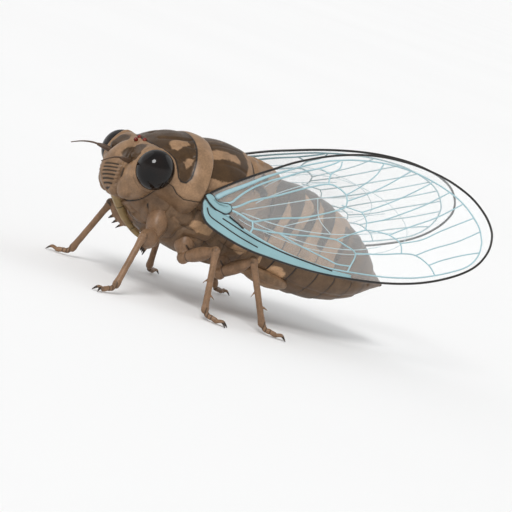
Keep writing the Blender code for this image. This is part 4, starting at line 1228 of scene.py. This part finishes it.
def membrane(outline, veins, side, inset):
    """A thin curved sheet inside an outline, sagging a little between its veins."""
    rim = flat_path(outline, 0.45, True)
    low, high = rim.min(0), rim.max(0)
    grid = np.array([
        (u, v + (i % 2) * SHEET_STEP / 2)
        for i, u in enumerate(np.arange(low[0], high[0], SHEET_STEP * 0.87))
        for v in np.arange(low[1], high[1], SHEET_STEP)
    ])
    grid = grid[outline_distance(grid, rim) < -SHEET_STEP * 0.45]
    flat = [Vector(p) for p in np.concatenate([rim, grid])]
    made = delaunay_2d_cdt(flat, [], [list(range(len(rim)))], 1, 1e-5)
    points, tris = (np.array([tuple(row) for row in made[k]]) for k in (0, 2))
    paths = [vein_rows(*vein)[:, :2] for vein in veins] + [round_trip(rim)]
    sag = CELL_SAG * (1 - bell(least(*(path_distance(points, path) for path in paths)), 0.7))
    half = MEMBRANE_THICK / 2
    top, under = (wing_points(points, lift - sag - inset, side) for lift in (half, -half))
    count = len(points)
    start, end = np.concatenate([tris[:, [k, (k + 1) % 3]] for k in range(3)]).T
    border = ~np.isin(start * count + end, end * count + start)
    start, end = start[border], end[border]
    walls = np.stack([end, start, start + count, end + count], -1)
    return np.concatenate([top, under]), walls, np.concatenate([tris, tris[:, ::-1] + count])


def band_form(side):
    """The front band of the forewing, a low pillow between its front edge and the main vein."""
    shares = np.linspace(0, 1, 120)
    edges = []
    for line in (BAND_FRONT, BAND_REAR):
        path = flat_path(line, 0.1)
        run = np.concatenate([[0], np.cumsum(norm(np.diff(path, axis=0), axis=1))])
        edges.append(np.stack([np.interp(shares * run[-1], run, path[:, k]) for k in (0, 1)], -1))
    across = np.linspace(0, 1, 17)
    rings = []
    for front, rear in zip(*edges):
        tall = min(BAND_HEIGHT, norm(rear - front) * 0.35)
        dome = tall * np.sqrt(np.clip(1 - (2 * across - 1) ** 2, 0, 1)) ** 0.7
        dome -= 0.05 * bell(across - 0.5, 0.12) * (tall / BAND_HEIGHT)
        flat = front + (rear - front) * across[:, None]
        low = wing_points(flat[::-1], -dome[::-1] * 0.8 - 0.02, side)
        rings.append(np.concatenate([wing_points(flat, dome + 0.02, side), low]))
    return loft(rings)


def lobe_form(side):
    """The small raised pad at the root of the forewing, and its rim."""
    rim = flat_path(LOBE_OUTLINE, 0.12, True)
    middle = np.array(LOBE_MIDDLE) * WING_THOUSANDTH
    near = middle[np.argmin(norm(rim[:, None] - middle, axis=2), axis=1)]
    rings = [wing_points(near + (rim - near) * share, lift, side) for share, lift in LOBE_RISE]
    return loft(rings), rim


def make_film(node, outline, veins, side, inset, material):
    """A wing's clear membrane; so clear a film throws no shadow."""
    film = piece(f"{node}_membrane", membrane(outline, veins, side, inset), material, "wing", node)
    film.visible_shadow = False


def make_forewing(side, node):
    """Membrane, veins, dark rim, front band with the lobe at its root, and their dark seams."""
    make_film(node, FOREWING_OUTLINE, FOREWING_VEINS, side, 0.0, MEMBRANE)
    veins = [vein_form(vein_rows(*vein), side) for vein in FOREWING_VEINS]
    piece(f"{node}_veins", join(veins), VEIN, "wing", node)
    rim = flat_path(FOREWING_OUTLINE, 0.3, True)
    rim = round_trip(np.roll(rim, -int(np.argmin(rim[:, 0])), axis=0))
    piece(f"{node}_edge", vein_form(thick(rim, EDGE_RADIUS), side), EDGE, "wing", node)
    lobe, outline = lobe_form(side)
    piece(f"{node}_band", join([band_form(side), lobe]), BAND, "wing", node)
    seams = [vein_form(vein_rows(*seam, 0.2), side, BAND_SEAM_INSET) for seam in BAND_SEAMS]
    seams.append(vein_form(thick(round_trip(outline), LOBE_SEAM_RADIUS), side, LOBE_SEAM_INSET))
    piece(f"{node}_seams", join(seams), EDGE, "wing", node)


def make_hindwing(side, node):
    """Membrane and veins of the smaller wing under it."""
    make_film(node, HINDWING_OUTLINE, HINDWING_VEINS, side, HINDWING_INSET, HIND_MEMBRANE)
    veins = [vein_form(vein_rows(*vein), side, HINDWING_INSET) for vein in HINDWING_VEINS]
    rim = thick(flat_path(HINDWING_OUTLINE, 0.4, True), HINDWING_EDGE_RADIUS)
    piece(f"{node}_veins", join([*veins, vein_form(rim, side, HINDWING_INSET)]), HIND_VEIN, "wing", node)


# Studio

def make_floor():
    corners = np.array([(-1, -1, 0), (1, -1, 0), (1, 1, 0), (-1, 1, 0)]) * FLOOR_REACH * MM
    floor = add_mesh("floor", (corners, np.array([[0, 1, 2, 3]]), NO_FACES))
    made, tree, shader, place = start_material("pale_floor")
    tone = ranged(tree, speckle(tree, place, 0.008), 0.3, 0.7, 0.93, 0.95)
    feed(tree, shader, {"Base Color": grey(tree, tone), "Roughness": 0.8, "Specular IOR Level": 0.2})
    floor.data.materials.append(made)


def make_light():
    """A soft white surround, brightest at the horizon, and three broad lamps."""
    world = bpy.data.worlds.new("studio")
    world.use_nodes = True
    tree = world.node_tree
    way = put(tree, "SeparateXYZ", {0: put(tree, "TexCoord", {}, "Generated")}, "Z")
    glow = ranged(tree, way, *HORIZON_BAND, HORIZON, SKY)
    feed(tree, tree.nodes["Background"], {"Color": (1.0, 1.0, 1.0, 1.0), "Strength": glow})
    bpy.context.scene.world = world
    for name, (way, power, width) in LAMPS.items():
        lamp = bpy.data.lights.new(name, "SUN")
        lamp.energy = power
        lamp.angle = math.radians(width)
        add_object(name, lamp).matrix_world = Vector(way).to_track_quat("Z", "Y").to_matrix().to_4x4()


def make_camera():
    """The drawing's view, rolled because the animal there walks up a slope and stands level here."""
    camera = bpy.data.cameras.new("camera")
    camera.lens = CAMERA_LENS
    camera.sensor_width = CAMERA_SENSOR
    camera.clip_start = CAMERA_NEAR * MM
    obj = add_object("camera", camera)
    turn = Euler((math.pi / 2 - CAMERA_ELEVATION, 0, CAMERA_AZIMUTH)).to_matrix().to_4x4()
    place = Vector(CAMERA_TARGET) + turn.to_3x3().col[2] * CAMERA_FIELD / CAMERA_SENSOR * CAMERA_LENS
    obj.matrix_world = Matrix.Translation(place * MM) @ turn @ Matrix.Rotation(CAMERA_ROLL, 4, "Z")
    bpy.context.scene.camera = obj


EYE = eye_material()
OCELLUS = cuticle("ocellus_red", OCELLUS_RED, rough=0.12, pits=0.0)
DARK_CUTICLE = cuticle("antenna_cuticle", ANTENNA_BROWN)
BEAK = cuticle("beak_cuticle", BEAK_TAN)
PLATE = cuticle("plate_cuticle", GROUND, pale=BACK_PALE, low=BREAST, wander=0.6)
SIDE_PLATE = cuticle("side_cuticle", FLANK, pale=SIDE_PALE, wander=0.7)
RING_PLATE = cuticle("abdomen_cuticle", RING_GROUND, pale=BELLY_PALE, low=BELLY)
LEG = cuticle("leg_cuticle", LEG_BROWN, dark=CLAW_BROWN)
VEIN = vein_material("wing_vein", VEIN_BLUE, tuple(c * 0.86 for c in VEIN_BLUE))
BAND = vein_material("wing_band", BAND_TEAL, tuple(c * 0.88 for c in BAND_TEAL))
EDGE = vein_material("wing_edge", *EDGE_BLACKS)
HIND_VEIN = vein_material("hindwing_vein", *HIND_VEIN_BLUES)
MEMBRANE = membrane_material("forewing_membrane", 0.1)
HIND_MEMBRANE = membrane_material("hindwing_membrane", 0.02)

make_head()
make_eyes()
make_antennae()
make_rostrum()
make_prothorax()
make_mesonotum()
make_thorax_side()
make_abdomen()
make_opercula()
for leg in LEG_JOINTS:
    make_upper_leg(leg)
    make_lower_leg(leg)
for side, word in SIDES:
    make_forewing(side, f"forewing_{word}")
    make_hindwing(side, f"hindwing_{word}")
make_floor()
make_light()
make_camera()
bpy.context.scene.view_settings.view_transform = "Standard"
